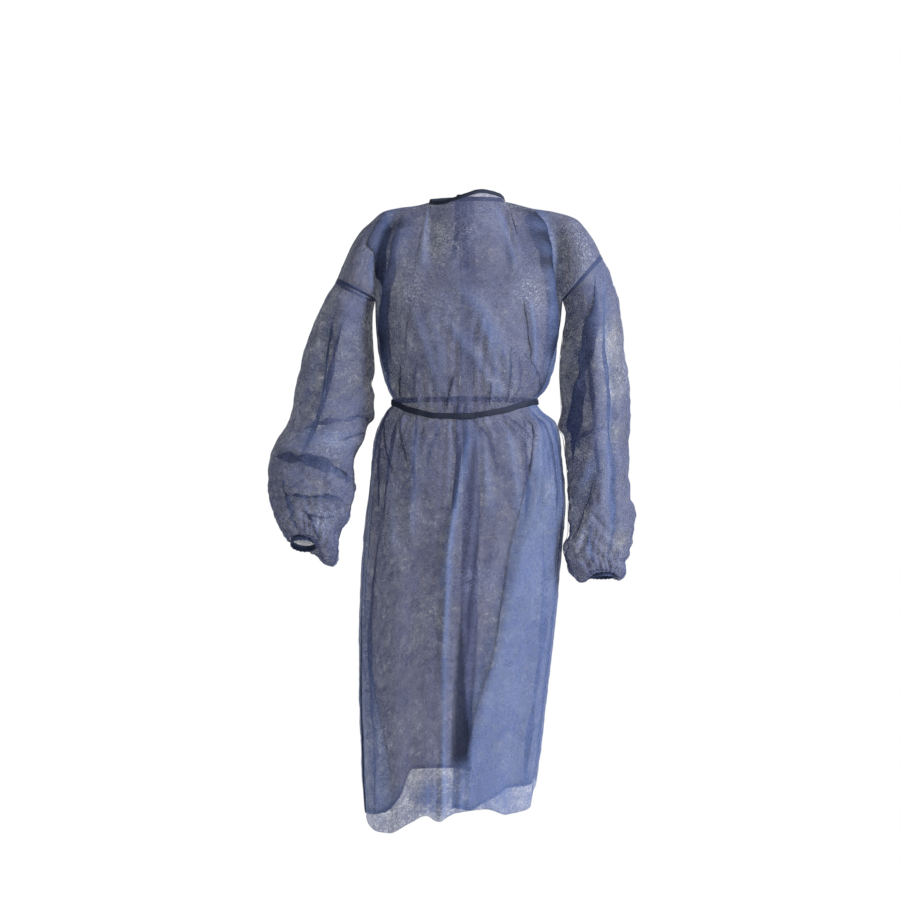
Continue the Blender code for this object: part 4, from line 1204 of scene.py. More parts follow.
class Board:
    """The node board of one finish."""

    def __init__(self, name: str) -> None:
        """Starts a material with a Principled shader on its own.

        Args:
            name: The material's name.
        """
        self.material = bpy.data.materials.new(name)
        self.material.use_nodes = True
        self.tree = self.material.node_tree
        self.shader = self.tree.nodes["Principled BSDF"]

    def node(self, kind: str, values: dict[str, object] | None = None, **settings: object) -> bpy.types.Node:
        """Adds a node.

        Args:
            kind: Blender's name of the node's type.
            values: What its sockets hold, by name.
            settings: What its own properties are.

        Returns:
            The node.
        """
        made = self.tree.nodes.new(kind)
        for key, value in settings.items():
            setattr(made, key, value)
        for key, value in (values or {}).items():
            made.inputs[key].default_value = value
        return made

    def join(self, output: Socket, socket: Socket) -> None:
        """Links two sockets."""
        self.tree.links.new(output, socket)

    def place(self, cloth: bool) -> Socket:
        """Where a point lies: on the cut cloth in metres, or in the object."""
        return self.node("ShaderNodeTexCoord").outputs["UV" if cloth else "Object"]

    def noise(self, at: Socket, scale: float, detail: float, rough: float, bend: float = 0.0) -> Socket:
        """A noise pattern.

        Args:
            at: Where it is read.
            scale: How fine it is.
            detail: How many finer layers it has.
            rough: How strong those are.
            bend: How much it is distorted.

        Returns:
            Its value.
        """
        made = self.node(
            "ShaderNodeTexNoise", {"Scale": scale, "Detail": detail, "Roughness": rough, "Distortion": bend}
        )
        self.join(at, made.inputs["Vector"])
        return made.outputs["Fac"]

    def sum(self, first: Socket, second: Socket | float, how: str = "ADD") -> Socket:
        """Two values put together by a Math node.

        Args:
            first: The first value.
            second: The second, or a number.
            how: The node's operation.

        Returns:
            The result.
        """
        made = self.node("ShaderNodeMath", operation=how)
        self.join(first, made.inputs[0])
        if isinstance(second, float):
            made.inputs[1].default_value = second
        else:
            self.join(second, made.inputs[1])
        return made.outputs[0]

    def spread(self, value: Socket, low: float, high: float, to_low: float, to_high: float) -> Socket:
        """A value moved from one range to another, and held inside it.

        Args:
            value: The value.
            low: Where its range starts.
            high: Where it ends.
            to_low: What low becomes.
            to_high: What high becomes.

        Returns:
            The result.
        """
        ends = {"From Min": low, "From Max": high, "To Min": to_low, "To Max": to_high}
        made = self.node("ShaderNodeMapRange", ends)
        self.join(value, made.inputs["Value"])
        return made.outputs["Result"]

    def over(self, share: Socket, below: Socket | tuple[float, ...], colour: tuple[float, ...]) -> Socket:
        """A colour laid over another one, or over a pattern of colours.

        Args:
            share: How much of the colour.
            below: The colour or pattern below it.
            colour: The colour.

        Returns:
            The new pattern.
        """
        made = self.node("ShaderNodeMix", data_type="RGBA")
        first, second = (next(put for put in made.inputs if put.type == "RGBA" and put.name == c) for c in "AB")
        second.default_value = (*colour, 1)
        if isinstance(below, tuple):
            first.default_value = (*below, 1)
        else:
            self.join(below, first)
        self.join(share, made.inputs["Factor"])
        return next(out for out in made.outputs if out.type == "RGBA")

    def settle(self, values: dict[str, object]) -> None:
        """Sets what the shader's own sockets hold, by name."""
        for key, value in values.items():
            self.shader.inputs[key].default_value = value

    def relief(self, height: Socket, strength: float, distance: float) -> None:
        """Gives the shader a bump from a height.

        Args:
            height: The height.
            strength: The bump's strength.
            distance: The bump's depth in metres.
        """
        made = self.node("ShaderNodeBump", {"Strength": strength, "Distance": distance})
        self.join(height, made.inputs["Height"])
        self.join(made.outputs["Normal"], self.shader.inputs["Normal"])


@dataclass(frozen=True)
class Nonwoven:
    """Sheer spunbond cloth: clouds of fibres, thin and thick places, stray filaments, and painted light and shade."""

    name: str = "spunbond"
    # Painted shade: the shade colour is painted over doubled and shaded cloth.
    shade: tuple[float, float, float] = (0.012, 0.018, 0.050)
    # Painted light and shade: deep is the shaded navy of close cloth, the bluer one the lit navy of cloth that stands
    # out.
    deep: tuple[float, float, float] = (0.062, 0.068, 0.146)
    lit_blue: tuple[float, float, float] = (0.088, 0.125, 0.275)
    light: tuple[float, float, float] = (0.142, 0.152, 0.255)
    fleck: tuple[float, float, float] = (0.520, 0.530, 0.590)
    cover: float = 0.515
    # How far the painted light and shade mark thins or thickens the cloth
    shading_cover: float = 0.32
    unevenness: float = 1.9
    # Scale, detail, roughness and distortion of the grain, then of the curls, clouds and patches
    finest: tuple[float, ...] = (330.0, 3.0, 0.7, 0.6)
    coarser: tuple[tuple[float, ...], ...] = ((150.0, 5.0, 0.72, 1.6), (42.0, 5.0, 0.62, 0.8), (9.0, 5.0, 0.60, 0.6))

    def cover_at(self, board: Board, grain: Socket, curls: Socket, clouds: Socket, patches: Socket) -> Socket:
        """How much of the light the cloth stops.

        Args:
            board: The finish's board.
            grain: The finest pattern.
            curls: The fibres' curls.
            clouds: Thin and thick places.
            patches: The widest pattern.

        Returns:
            The cover, as a share.
        """
        uneven = self.unevenness
        threads = board.spread(board.sum(board.sum(curls, -0.5), 0.0, "ABSOLUTE"), 0.0, 0.045, 1.0, 0.0)
        parts = (
            board.spread(grain, 0.28, 0.72, -0.08 * uneven, 0.08 * uneven),
            board.spread(curls, 0.32, 0.68, -0.08 * uneven, 0.08 * uneven),
            board.spread(clouds, 0.32, 0.68, -0.06 * uneven, 0.06 * uneven),
            board.spread(patches, 0.32, 0.68, -0.05 * uneven, 0.05 * uneven),
            board.spread(threads, 0.0, 1.0, -0.02 * uneven, 0.06 * uneven),
        )
        cover = parts[0]
        for part in parts[1:]:
            cover = board.sum(cover, part)
        return board.spread(board.sum(cover, self.cover), 0.06, 0.92, 0.06, 0.92)

    def material(self) -> bpy.types.Material:
        """Makes the finish.

        Returns:
            The material.
        """
        board = Board(self.name)
        at = board.place(cloth=True)
        free, doubled_and_shaded, flecked, shade_light_cover = (
            board.node("ShaderNodeAttribute", attribute_name=name).outputs["Fac"]
            for name in ("standing_lit", "doubled_and_shaded", "flecked", "shade_light_cover")
        )
        # Painted light: the standing mark turns the navy lighter and bluer, and thins out the mottles and flecks.
        lying = board.spread(free, 0.0, 1.0, 1.0, 0.45)
        laid = board.node("ShaderNodeVectorMath", operation="MULTIPLY")
        laid.inputs[1].default_value = (0.75, 1.25, 1.0)
        board.join(at, laid.inputs[0])
        grain = board.noise(laid.outputs["Vector"], *self.finest)
        curls, clouds, patches = (board.noise(at, *numbers) for numbers in self.coarser)
        # Painted light and shade: thinner cloth looks lit, thicker cloth looks shaded
        shading_cover = board.spread(shade_light_cover, -1.0, 1.0, -self.shading_cover, self.shading_cover)
        cover = board.sum(self.cover_at(board, grain, curls, clouds, patches), shading_cover)
        board.join(board.spread(cover, 0.05, 0.96, 0.05, 0.96), board.shader.inputs["Alpha"])
        # Painted light and shade: free cloth and ridges lighter and bluer, doubled and shaded cloth dark
        base = board.over(doubled_and_shaded, board.over(free, self.deep, self.lit_blue), self.shade)
        fine, wide = board.spread(grain, 0.42, 0.66, 0.0, 1.0), board.spread(patches, 0.34, 0.60, 0.20, 1.0)
        swirl = board.sum(fine, wide, "MULTIPLY")
        plain = board.sum(lying, board.spread(doubled_and_shaded, 0.0, 1.0, 1.0, 0.15), "MULTIPLY")
        lit = board.over(board.sum(swirl, plain, "MULTIPLY"), base, self.light)
        speck = board.spread(board.noise(at, 260.0, 4.0, 0.85, 0.8), 0.50, 0.62, 0.0, 1.0)
        strewn = board.sum(board.spread(patches, 0.52, 0.68, 0.0, 0.3), board.spread(flecked, 0.05, 0.8, 0.0, 1.0))
        where = board.sum(strewn, board.spread(clouds, 0.38, 0.56, 0.25, 1.0), "MULTIPLY")
        fleck = board.spread(board.sum(board.sum(speck, where, "MULTIPLY"), plain, "MULTIPLY"), 0.0, 1.0, 0.0, 1.0)
        board.join(board.over(fleck, lit, self.fleck), board.shader.inputs["Base Color"])
        board.settle({"Roughness": 0.62, "Specular IOR Level": 0.35})
        board.settle({"Sheen Weight": 0.12, "Sheen Roughness": 0.4, "Sheen Tint": (0.62, 0.72, 1.0, 1.0)})
        board.relief(board.sum(board.sum(curls, grain), clouds), 0.45, 0.0008)
        return board.material


@dataclass(frozen=True)
class Tape:
    """Opaque folded tape, thread or covered elastic: a matt base with fine ribs across its run."""

    name: str
    deep: tuple[float, float, float]
    light: tuple[float, float, float]
    ribs: float = 900.0
    relief: float = 0.5
    roughness: float = 0.72

    def material(self) -> bpy.types.Material:
        """Makes the finish.

        Returns:
            The material.
        """
        board = Board(self.name)
        at = board.place(cloth=False)
        fuzz = board.noise(at, 480.0, 4.0, 0.65)
        wear = board.noise(at, 60.0, 3.0, 0.6)
        weave = board.noise(at, self.ribs, 1.0, 0.5, 0.3)
        share = board.spread(board.sum(board.sum(fuzz, weave), wear), 1.10, 1.90, 0.0, 1.0)
        board.join(board.over(share, self.deep, self.light), board.shader.inputs["Base Color"])
        rough = board.spread(wear, 0.3, 0.7, self.roughness - 0.08, self.roughness + 0.10)
        board.join(rough, board.shader.inputs["Roughness"])
        board.settle({"Specular IOR Level": 0.35})
        board.relief(board.sum(fuzz, weave), self.relief, 0.0004)
        return board.material


@dataclass(frozen=True)
class StudioFloor:
    """A pale seamless floor that fades out at its edge."""

    name: str = "pale floor"
    colour: tuple[float, float, float] = (0.90, 0.90, 0.90)
    fade_from: float = 0.9
    fade_to: float = 1.45

    def material(self) -> bpy.types.Material:
        """Makes the finish.

        Returns:
            The material.
        """
        board = Board(self.name)
        far = board.node("ShaderNodeVectorMath", operation="LENGTH")
        flat = board.node("ShaderNodeVectorMath", operation="MULTIPLY")
        flat.inputs[1].default_value = (1, 1, 0)
        board.join(board.place(cloth=False), flat.inputs[0])
        board.join(flat.outputs["Vector"], far.inputs[0])
        fade = board.spread(far.outputs["Value"], self.fade_from, self.fade_to, 1.0, 0.0)
        board.join(fade, board.shader.inputs["Alpha"])
        board.settle({"Base Color": (*self.colour, 1), "Roughness": 0.9})
        board.settle({"Emission Color": (1, 1, 1, 1), "Emission Strength": 0.45})
        return board.material


Finish = Nonwoven | Tape | StudioFloor
FINISH_CLOTH = Nonwoven()
FINISH_TAPE = Tape("folded tape", (0.004, 0.006, 0.016), (0.012, 0.017, 0.040))
FINISH_ELASTIC = Tape("covered elastic", (0.014, 0.022, 0.060), (0.050, 0.066, 0.140), 700.0, 0.6)
FINISH_SEAM = Tape("sewn seam", (0.016, 0.026, 0.075), (0.040, 0.056, 0.130), 600.0, 0.5)
FINISH_THREAD = Tape("sewing thread", (0.010, 0.014, 0.040), (0.030, 0.040, 0.090), 1500.0, 0.3, 0.55)
MADE: dict[str, bpy.types.Material] = {}


def finish_of(kind: Finish) -> bpy.types.Material:
    """The material of a finish, made once.

    Args:
        kind: The finish.

    Returns:
        The material.
    """
    if kind.name not in MADE:
        MADE[kind.name] = kind.material()
    return MADE[kind.name]


def piece_from(name: str, shape: Shape, finish: Finish, slot: str | None) -> Piece:
    """Makes a mesh object of a shape, with its finish, and lets it ride on the gown.

    Args:
        name: The piece's name.
        shape: Its shape, which is freed.
        finish: Its finish.
        slot: Not None for a piece of the gown, which is attached and logged; None for a piece of the studio.

    Returns:
        The object.
    """
    mesh = bpy.data.meshes.new(name)
    shape.to_mesh(mesh)
    shape.free()
    mesh.shade_smooth()
    mesh.materials.append(finish_of(finish))
    made = bpy.data.objects.new(name, mesh)
    bpy.context.scene.collection.objects.link(made)
    if slot is not None:
        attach(made, "root")
        LOG.info("%s: %d faces", name, len(mesh.polygons))
    return made


def cloth_grid(
    points: Array, flat: Array | None = None, marks: dict[str, Array] | None = None, closed: bool = False
) -> Shape:
    """A grid whose corners are moved to points, with a UV map in metres of the cut cloth.

    Args:
        points: The place of each corner, by row and column.
        flat: The place of each corner on the cut cloth, or None for no UV map.
        marks: Numbers of each corner that the finish reads, by name, or None.
        closed: Whether the last column meets the first.

    Returns:
        The shape.
    """
    rows, columns = points.shape[:2]
    shape = bmesh.new()
    bmesh.ops.create_grid(shape, x_segments=columns - 1, y_segments=rows - 1, size=1)
    mesh = bpy.data.meshes.new("grid")
    shape.to_mesh(mesh)
    shape.clear()
    mesh.vertices.foreach_set("co", np.ascontiguousarray(points, np.float32).ravel())
    if flat is not None:
        corner = np.empty(len(mesh.loops), np.int32)
        mesh.loops.foreach_get("vertex_index", corner)
        mesh.uv_layers.new(name="cut").data.foreach_set("uv", flat.reshape(-1, 2)[corner].astype(np.float32).ravel())
    for name, values in (marks or {}).items():
        mesh.attributes.new(name, "FLOAT", "POINT").data.foreach_set("value", values.astype(np.float32).ravel())
    shape.from_mesh(mesh)
    bpy.data.meshes.remove(mesh)
    if closed:
        shape.verts.ensure_lookup_table()
        edge = [shape.verts[row * columns + column] for row in range(rows) for column in (0, columns - 1)]
        bmesh.ops.remove_doubles(shape, verts=edge, dist=0.005 * MM)
    return shape


def walled(piece: Piece, thickness: float) -> Piece:
    """Gives a sheet of cloth its thickness.

    Args:
        piece: The sheet.
        thickness: The thickness.

    Returns:
        The sheet.
    """
    wall = piece.modifiers.new("Wall", "SOLIDIFY")
    wall.thickness, wall.offset, wall.use_even_offset = thickness, 0, False
    return piece


def swept(path: Array, outs: Array, ups: Array, section: Array, closed: bool) -> Shape:
    """A section carried along a path.

    Args:
        path: The path's points.
        outs: The section's first direction at each.
        ups: Its second direction at each.
        section: The section's points, without the first one again at the end.
        closed: Whether the path meets itself.

    Returns:
        The shape.
    """
    loop = np.concatenate([section, section[:1]])
    if closed:
        path, outs, ups = (np.concatenate([a, a[:1]]) for a in (path, outs, ups))
    places = path[:, None] + outs[:, None] * loop[None, :, :1] + ups[:, None] * loop[None, :, 1:]
    shape = cloth_grid(places)
    bmesh.ops.remove_doubles(shape, verts=shape.verts, dist=0.005 * MM)
    if not closed:
        bmesh.ops.holes_fill(shape, edges=shape.edges)
    bmesh.ops.recalc_face_normals(shape, faces=shape.faces)
    return shape


def rounded_section(width: float, height: float, roundness: float = 3.0, count: int = 16) -> Array:
    """A flattened oval.

    Args:
        width: Its width.
        height: Its height.
        roundness: 2 for an ellipse, more for fuller corners.
        count: How many points it has.

    Returns:
        The points, across and up.
    """
    turn = np.linspace(0, 2 * np.pi, count, endpoint=False)
    sides = ((width, np.cos(turn)), (height, np.sin(turn)))
    return np.stack([size / 2 * np.sign(v) * np.abs(v) ** (2 / roundness) for size, v in sides], 1)


def eased(rows: Array, times: int) -> Array:
    """Smooths rows of numbers between the first and the last.

    Args:
        rows: The rows.
        times: How many times.

    Returns:
        The smoothed rows.
    """
    rows = rows.copy()
    for _ in range(times):
        rows[1:-1] = (rows[:-2] + 2 * rows[1:-1] + rows[2:]) / 4
    return rows


def way_round(path: Array) -> Array:
    """The way along a closed path at each of its points."""
    return np.roll(path, -1, axis=0) - np.roll(path, 1, axis=0)


def paced(path: Array, step: float, *others: Array) -> tuple[Array, ...]:
    """A path read at even steps along its length.

    Args:
        path: The path's points.
        step: The distance between the new points.
        others: Rows of numbers that go with the points.

    Returns:
        The new points, and the others read at them.
    """
    run = np.concatenate([[0], np.cumsum(np.linalg.norm(np.diff(path, axis=0), axis=1))])
    at = (np.arange(max(2, int(run[-1] / step))) + 0.5) * step
    return tuple(
        np.stack([np.interp(at, run, rows[:, k]) for k in range(rows.shape[1])], 1) for rows in (path, *others)
    )


@dataclass(frozen=True)
class Stitches:
    """A row of machine stitches in dark thread."""

    pitch: float = 4.0 * MM
    length: float = 2.6 * MM
    radius: float = 0.34 * MM

    def add(self, shape: Shape, path: Array, outs: Array) -> None:
        """Adds a row of stitches to a shape.

        Args:
            shape: The shape they go into.
            path: The line they follow.
            outs: The way out of the cloth at each of its points.
        """
        places, ways = paced(path, self.pitch, outs)
        lines = unit(np.gradient(places, axis=0))
        for place, line, out in zip(places, lines, unit(ways)):
            side = np.cross(line, out)
            axes = (line * self.length / 2, side * self.radius, np.cross(side, line) * self.radius)
            turned = Matrix(axes).transposed().to_4x4()
            turned.translation = Vector(place)
            bmesh.ops.create_icosphere(shape, subdivisions=1, radius=1, matrix=turned)


@dataclass(frozen=True)
class SeamBand:
    """The folded allowance inside a seam, with its row of stitches."""

    wall: float = 0.5 * MM
    inside: float = 0.55 * MM
    stitches: Stitches = field(default_factory=Stitches)

    def build(self, name: str, lanes: Array, outs: Array) -> Pieces:
        """Makes the band and its stitches.

        Args:
            name: The seam's name.
            lanes: The band's two edges and its middle, as rows of points on the cloth.
            outs: The way out of the cloth at each point of the middle.

        Returns:
            The pieces.
        """
        inside = lanes - outs[None] * self.inside
        band = piece_from(f"{name}_band", cloth_grid(inside.transpose(1, 0, 2)), FINISH_SEAM, "cloth")
        walled(band, self.wall)
        row = bmesh.new()
        self.stitches.add(row, lanes[1], outs)
        return [band, piece_from(f"{name}_stitches", row, FINISH_THREAD, "cloth")]


@dataclass
class BodyCloth:
    """The front panel and the two lapped halves of the back."""

    form: BodyForm
    wall: float = 0.45 * MM
    hem_turn: float = 7 * MM
    front_columns: tuple[int, int] = (66, 78)
    front_rows: tuple[int, int, int, int] = (46, 44, 44, 70)
    back_columns: int = 118
    back_rows: tuple[int, int, int, int] = (40, 38, 42, 64)
    cut_front: tuple[float, float] = (0.76, 1.20)
    cut_back: tuple[float, float] = (0.34, 1.18)
    cut_girth: float = 0.17
    cut_drops: tuple[float, ...] = (0, 0.235, 0.425, 1.17)
    level_steps: tuple[float, float, float] = (0.22, 0.19, 0.745)
    tuck_step: float = 0.5
    wrinkles: tuple[tuple[float, float], ...] = ((1.5, 0.050), (0.8, 0.022))
    kept: dict[str, tuple[Array, Array]] = field(default_factory=dict)

    def levels(self, rows: tuple[int, int, int, int], turned: bool) -> tuple[Array, Array]:
        """The rows' levels, and how far each is turned in under the hem.

        Args:
            rows: How many rows there are from mark to mark.
            turned: Whether the hem is turned in.

        Returns:
            The levels and the distances.
        """
        marks = (0, 1, 2, 2.25, 3)
        spans = [np.linspace(a, b, n, endpoint=False) for a, b, n in zip(marks, marks[1:], rows)]
        level = np.concatenate([*spans, [3.0]])
        if not turned:
            return level, np.zeros(len(level))
        back = 3 - self.hem_turn / (self.form.hem_drop - self.form.belt_drop) * np.array([0.04, 0.3, 0.65, 1.0])
        inset = np.concatenate([np.zeros(len(level)), np.array([0.6, 1.0, 1.1, 1.0]) * MM])
        return np.concatenate([level, back]), inset

    def dressed(self, name: str, angle: Array, level: Array, inset: Array, behind: bool, lapped: bool) -> Piece:
        """Makes one panel.

        Args:
            name: The panel's name.
            angle: Each corner's angle.
            level: Its level.
            inset: How far each row is turned in.
            behind: Whether the panel is on the back.
            lapped: Whether it is the outer half of the back.

        Returns:
            The panel.
        """
        form, seed = self.form, SEEDS[name]
        tucks = (BACK_TUCKS + (() if lapped else INNER_TUCKS)) if behind else FRONT_TUCKS
        turned, fell, lift, doubled_and_shaded = tucked(tucks, angle, level, form.girth, self.tuck_step)
        edge = (90.0, 270.0) if behind else (-90.0, 90.0)
        turned = np.clip(turned, min(edge[0], angle.min()), max(edge[1], angle.max()))
        points, normals = form.cloth(turned, np.clip(fell, 0, 3), behind, lapped)
        away = soft(0, 0.10, level) * soft(0, 5, 90 - np.abs(angle - (180 if behind else 0)))
        away = away * (1 - 0.75 * np.exp(-((form.below_belt(level) / 0.012) ** 2)))
        rise = lift * soft(0, 0.08, level) + away * wrinkled(points, self.wrinkles, seed) * MM - inset[:, None]
        points = points + normals * rise[..., None]
        points = self.smoothed(points, level)
        self.kept[name] = (points, normals)
        down = np.interp(level, (0, 1, 2, 3), self.cut_drops)
        flat = np.stack([np.radians(angle) * self.cut_girth + seed, down], axis=-1)
        step = np.choose(np.clip(level.astype(int), 0, 2), self.level_steps)
        spots, shades, shade_light_patches = ((), (), ()) if behind else (BODY_SPOTS, BODY_SHADES, BODY_SHADE_LIGHT_COVERS)
        in_lap = form.in_lap(angle, level) if behind else np.zeros(angle.shape)
        # Painted shade: the inner back panel under the lap, the front over the bunched lap and the front's shade
        # patches are painted dark.
        painted_shade = in_lap * (not lapped) * soft(2.2, 2.5, level) if behind else form.shaded(angle, level)
        painted_shade = painted_shade + patched(shades, angle, level, form.girth, step)
        # Painted shade: the doubled mark also takes the painted shadow, the shade patches and the back's turned hem,
        # and the finish paints it dark
        doubled_and_shaded = np.clip(doubled_and_shaded + painted_shade + 0.8 * soft(2.975, 2.988, level) * behind, 0, 1)
        # Painted light: above the belt the back's lap is made thinner, so its double layer shows less dark.
        lap_lightened = 0.35 * in_lap * soft(2.2, 2.0, level)
        marks = {
            "standing_lit": form.standing_lit(turned, np.clip(fell, 0, 3), behind),
            "doubled_and_shaded": doubled_and_shaded,
            "flecked": patched(spots, angle, level, form.girth, step),
            "shade_light_cover": np.clip(0.3 * doubled_and_shaded - lap_lightened + patched(shade_light_patches, angle, level, form.girth, step), -1, 1),
        }
        piece = walled(piece_from(f"{name}_cloth", cloth_grid(points, flat, marks), FINISH_CLOTH, "cloth"), self.wall)
        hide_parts(name)
        return piece

    def smoothed(self, points: Array, level: Array) -> Array:
        """Softens the bend where the yoke meets the chest line.

        Args:
            points: The panel's points.
            level: Their levels.

        Returns:
            The points, smoothed near that line.
        """
        near = np.exp(-(((level - 1) / 0.10) ** 2))[..., None]
        for _ in range(8):
            points = points + near * (eased(points, 1) - points)
        return points

    def build(self) -> Pieces:
        """Makes the three panels.

        Returns:
            The panels.
        """
        outer, middle = self.front_columns
        neck = self.form.neck_angle
        side = np.linspace(-90, -neck, outer, endpoint=False)
        columns = np.concatenate([side, np.linspace(-neck, neck, middle + 1), -side[::-1]])
        levels, inset = self.levels(self.front_rows, False)
        angle, level = np.meshgrid(columns, levels)
        made = [self.dressed("front_panel", angle, level, inset, False, False)]
        shares = np.linspace(0, 1, self.back_columns + 1)
        for side_of, name in ((Side.RIGHT, "back_right"), (Side.LEFT, "back_left")):
            levels, inset = self.levels(self.back_rows, True)
            angle = self.form.back_angles(np.minimum(levels, 3), side_of, shares)
            level = levels[:, None] + 0 * angle
            made.append(self.dressed(name, angle, level, inset, True, side_of is Side.RIGHT))
        return made


@dataclass
class BodySeams:
    """The shoulder and side seams, which join the front to the back."""

    form: BodyForm
    band: SeamBand = field(default_factory=SeamBand)
    half: float = 2.4 * MM
    side_points: int = 150
    shoulder_points: int = 70
    yoke_depth: float = 0.20

    def lane(self, angle: Array, level: Array, behind: bool) -> tuple[Array, Array]:
        """A line of points on one panel, with the way out at each."""
        points, normals = self.form.cloth(angle[None], level[None], behind, False)
        return points[0], normals[0]

    def build(self) -> Pieces:
        """Makes the seams.

        Returns:
            The pieces.
        """
        made: Pieces = []
        for side in Side:
            s = side.value
            level, edge = np.linspace(1.0, 2.995, self.side_points), np.full(self.side_points, s * 90.0)
            aside = s * math.degrees(self.half / self.form.girth)
            ahead, out_a = self.lane(edge - aside, level, False)
            rear, out_b = self.lane(180 - edge + aside, level, True)
            middle = (self.lane(edge, level, False)[0] + self.lane(180 - edge, level, True)[0]) / 2
            made += self.band.build(f"side_seam_{side.word}", np.array([ahead, middle, rear]), unit(out_a + out_b))
            angle = s * np.linspace(35, 89.5, self.shoulder_points)
            low = np.full(self.shoulder_points, self.half / self.yoke_depth)
            ahead, _ = self.lane(angle, low, False)
            rear, _ = self.lane(180 - angle, low, True)
            middle = (self.lane(angle, 0 * low, False)[0] + self.lane(180 - angle, 0 * low, True)[0]) / 2
            out = unit(np.cross(np.gradient(middle, axis=0), [0, 1.0, 0]) * s)
            out = out * np.sign(out[:, 2:3] + 1e-9)
            made += self.band.build(f"shoulder_seam_{side.word}", np.array([ahead, middle, rear]), out)
        return made


@dataclass
class Sleeve:
    """One sleeve with its armhole seam, its long seam and its elastic cuff."""

    form: SleeveForm
    wall: float = 0.45 * MM
    columns: int = 208
    rows: tuple[int, int] = (140, 50)
    gathers_from: float = 0.86
    wrinkles: tuple[tuple[float, float], ...] = ((2.6, 0.060), (1.7, 0.027), (0.7, 0.013))
    cut: tuple[float, float] = (0.52, 0.62)
    cuff_height: float = 9 * MM
    cuff_wall: float = 1.5 * MM
    cuff_pleats: int = 38
    cuff_columns: int = 228
    cuff_rows: int = 11
    cuff_tuck_in: float = 1.7 * MM
    # The share of the cuff's height that lies inside the sleeve's end
    cuff_inside: float = 0.35
    cuff_stitches: Stitches = Stitches(3.2 * MM, 2.2 * MM, 0.28 * MM)
    seam_points: tuple[int, int] = (180, 120)
    seam_half_angle: float = 2.0
    band: SeamBand = field(default_factory=SeamBand)

    def gathers(self, turn: Array, share: Array) -> Array:
        """The small uneven gathers above the cuff.

        Args:
            turn: Where round the sleeve.
            share: Where down the sleeve.

        Returns:
            How far they move the cloth outwards.
        """
        angle, near = np.radians(turn), soft(0.74, 0.97, share) * soft(1.0, 0.975, share)
        waves = np.cos(26 * angle + 0.3 + 5 * share) + 0.8 * np.cos(37 * angle + 1.9)
        return 0.6 * MM * (waves + 0.7 * np.cos(17 * angle + 4.2 - 7 * share)) * near

    def build_cloth(self) -> Piece:
        """Makes the sleeve's cloth.

        Returns:
            The piece.
        """
        form, name = self.form, f"sleeve_{self.form.side.word}"
        seed, (long, short) = SEEDS[name], self.rows
        above = np.linspace(0, self.gathers_from, long, endpoint=False)
        share = np.concatenate([above, np.linspace(self.gathers_from, 1, short)])
        turn, share = np.meshgrid(np.linspace(0, 360, self.columns + 1), share)
        turned, fell, lift, doubled_and_shaded = tucked(form.tables.tucks, turn, share, form.girth, form.length)
        points, normals = form.cloth(turned, np.clip(fell, 0, 1))
        away = soft(0, 0.05, share) * soft(1.0, 0.94, share)
        bunched = 1 + 1.6 * soft(0.55, 0.85, share)
        rise = (lift + wrinkled(points, self.wrinkles, seed) * bunched * MM) * away + self.gathers(turn, share)
        points = points + normals * rise[..., None]
        points[:, -1] = points[:, 0]
        flat = np.stack([np.radians(turn) * form.girth + seed, share * form.length], axis=-1)
        # Painted highlight: the raised creases and the tucks are painted lighter and bluer.
        raised = [crease for crease in form.tables.creases if crease.lift > 0]
        creased = sum(form.crease_lift(crease, turned, fell) for crease in raised)
        spots, shades, shade_light_patches = (patched(zone, turn, share, form.girth, form.length) for zone in form.tables.zones)
        # Painted shade: the tucks are painted dark by this share, and the rest goes into thicker cloth.
        dark = form.tables.tuck_shade
        marks = {
            "standing_lit": np.clip(0.15 + creased / (7 * MM) + doubled_and_shaded, 0, 1)[::-1],
            "doubled_and_shaded": np.clip(dark * doubled_and_shaded + shades, 0, 1)[::-1],
            "flecked": spots[::-1],
            "shade_light_cover": np.clip((1.2 - dark) * doubled_and_shaded + shade_light_patches, -1, 1)[::-1],
        }
        shape = cloth_grid(points[::-1], flat[::-1], marks, closed=True)
        piece = walled(piece_from(f"{name}_cloth", shape, FINISH_CLOTH, "cloth"), self.wall)
        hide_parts(name)
        return piece

    def build_armhole(self) -> Pieces:
        """Makes the seam that joins the sleeve to the body.

        Returns:
            The pieces.
        """
        form, body, s = self.form, self.form.body, self.form.side.value
        count = self.seam_points[0]
        turn = np.linspace(0, 360, count, endpoint=False)
        level = np.where(turn > 180, (360 - turn) / 180, turn / 180) if s > 0 else np.abs(180 - turn) / 180
        behind = turn < 180
        lanes_body = [
            body.cloth(np.full((1, count), (180 - s * 89.0) if rear else s * 89.0), level[None], rear, False)[0][0]
            for rear in (False, True)
        ]
        on_body = np.where(behind[:, None], lanes_body[1], lanes_body[0])
        on_sleeve, out = form.cloth(turn[None], np.full((1, count), 0.005))
        edge = body.armhole_point(form.side, turn)
        lanes = np.array([on_body, edge, on_sleeve[0]])
        lanes = np.concatenate([lanes, lanes[:, :1]], axis=1)
        outs = np.concatenate([out[0], out[0][:1]])
        return self.band.build(f"armhole_seam_{form.side.word}", lanes, outs)

    def build_underarm(self) -> Pieces:
        """Makes the seam along the inner side of the sleeve.

        Returns:
            The pieces.
        """
        form, count = self.form, self.seam_points[1]
        share = np.linspace(0.01, 0.975, count)
        middle = 180.0 if form.side is Side.RIGHT else 0.0
        lanes, outs = [], None
        for step in (-self.seam_half_angle, 0.0, self.seam_half_angle):
            points, normals = form.cloth(np.full((1, count), middle + step), share[None])
            lanes.append(points[0])
            outs = normals[0] if step == 0 else outs
        return self.band.build(f"underarm_seam_{form.side.word}", np.array(lanes), outs)

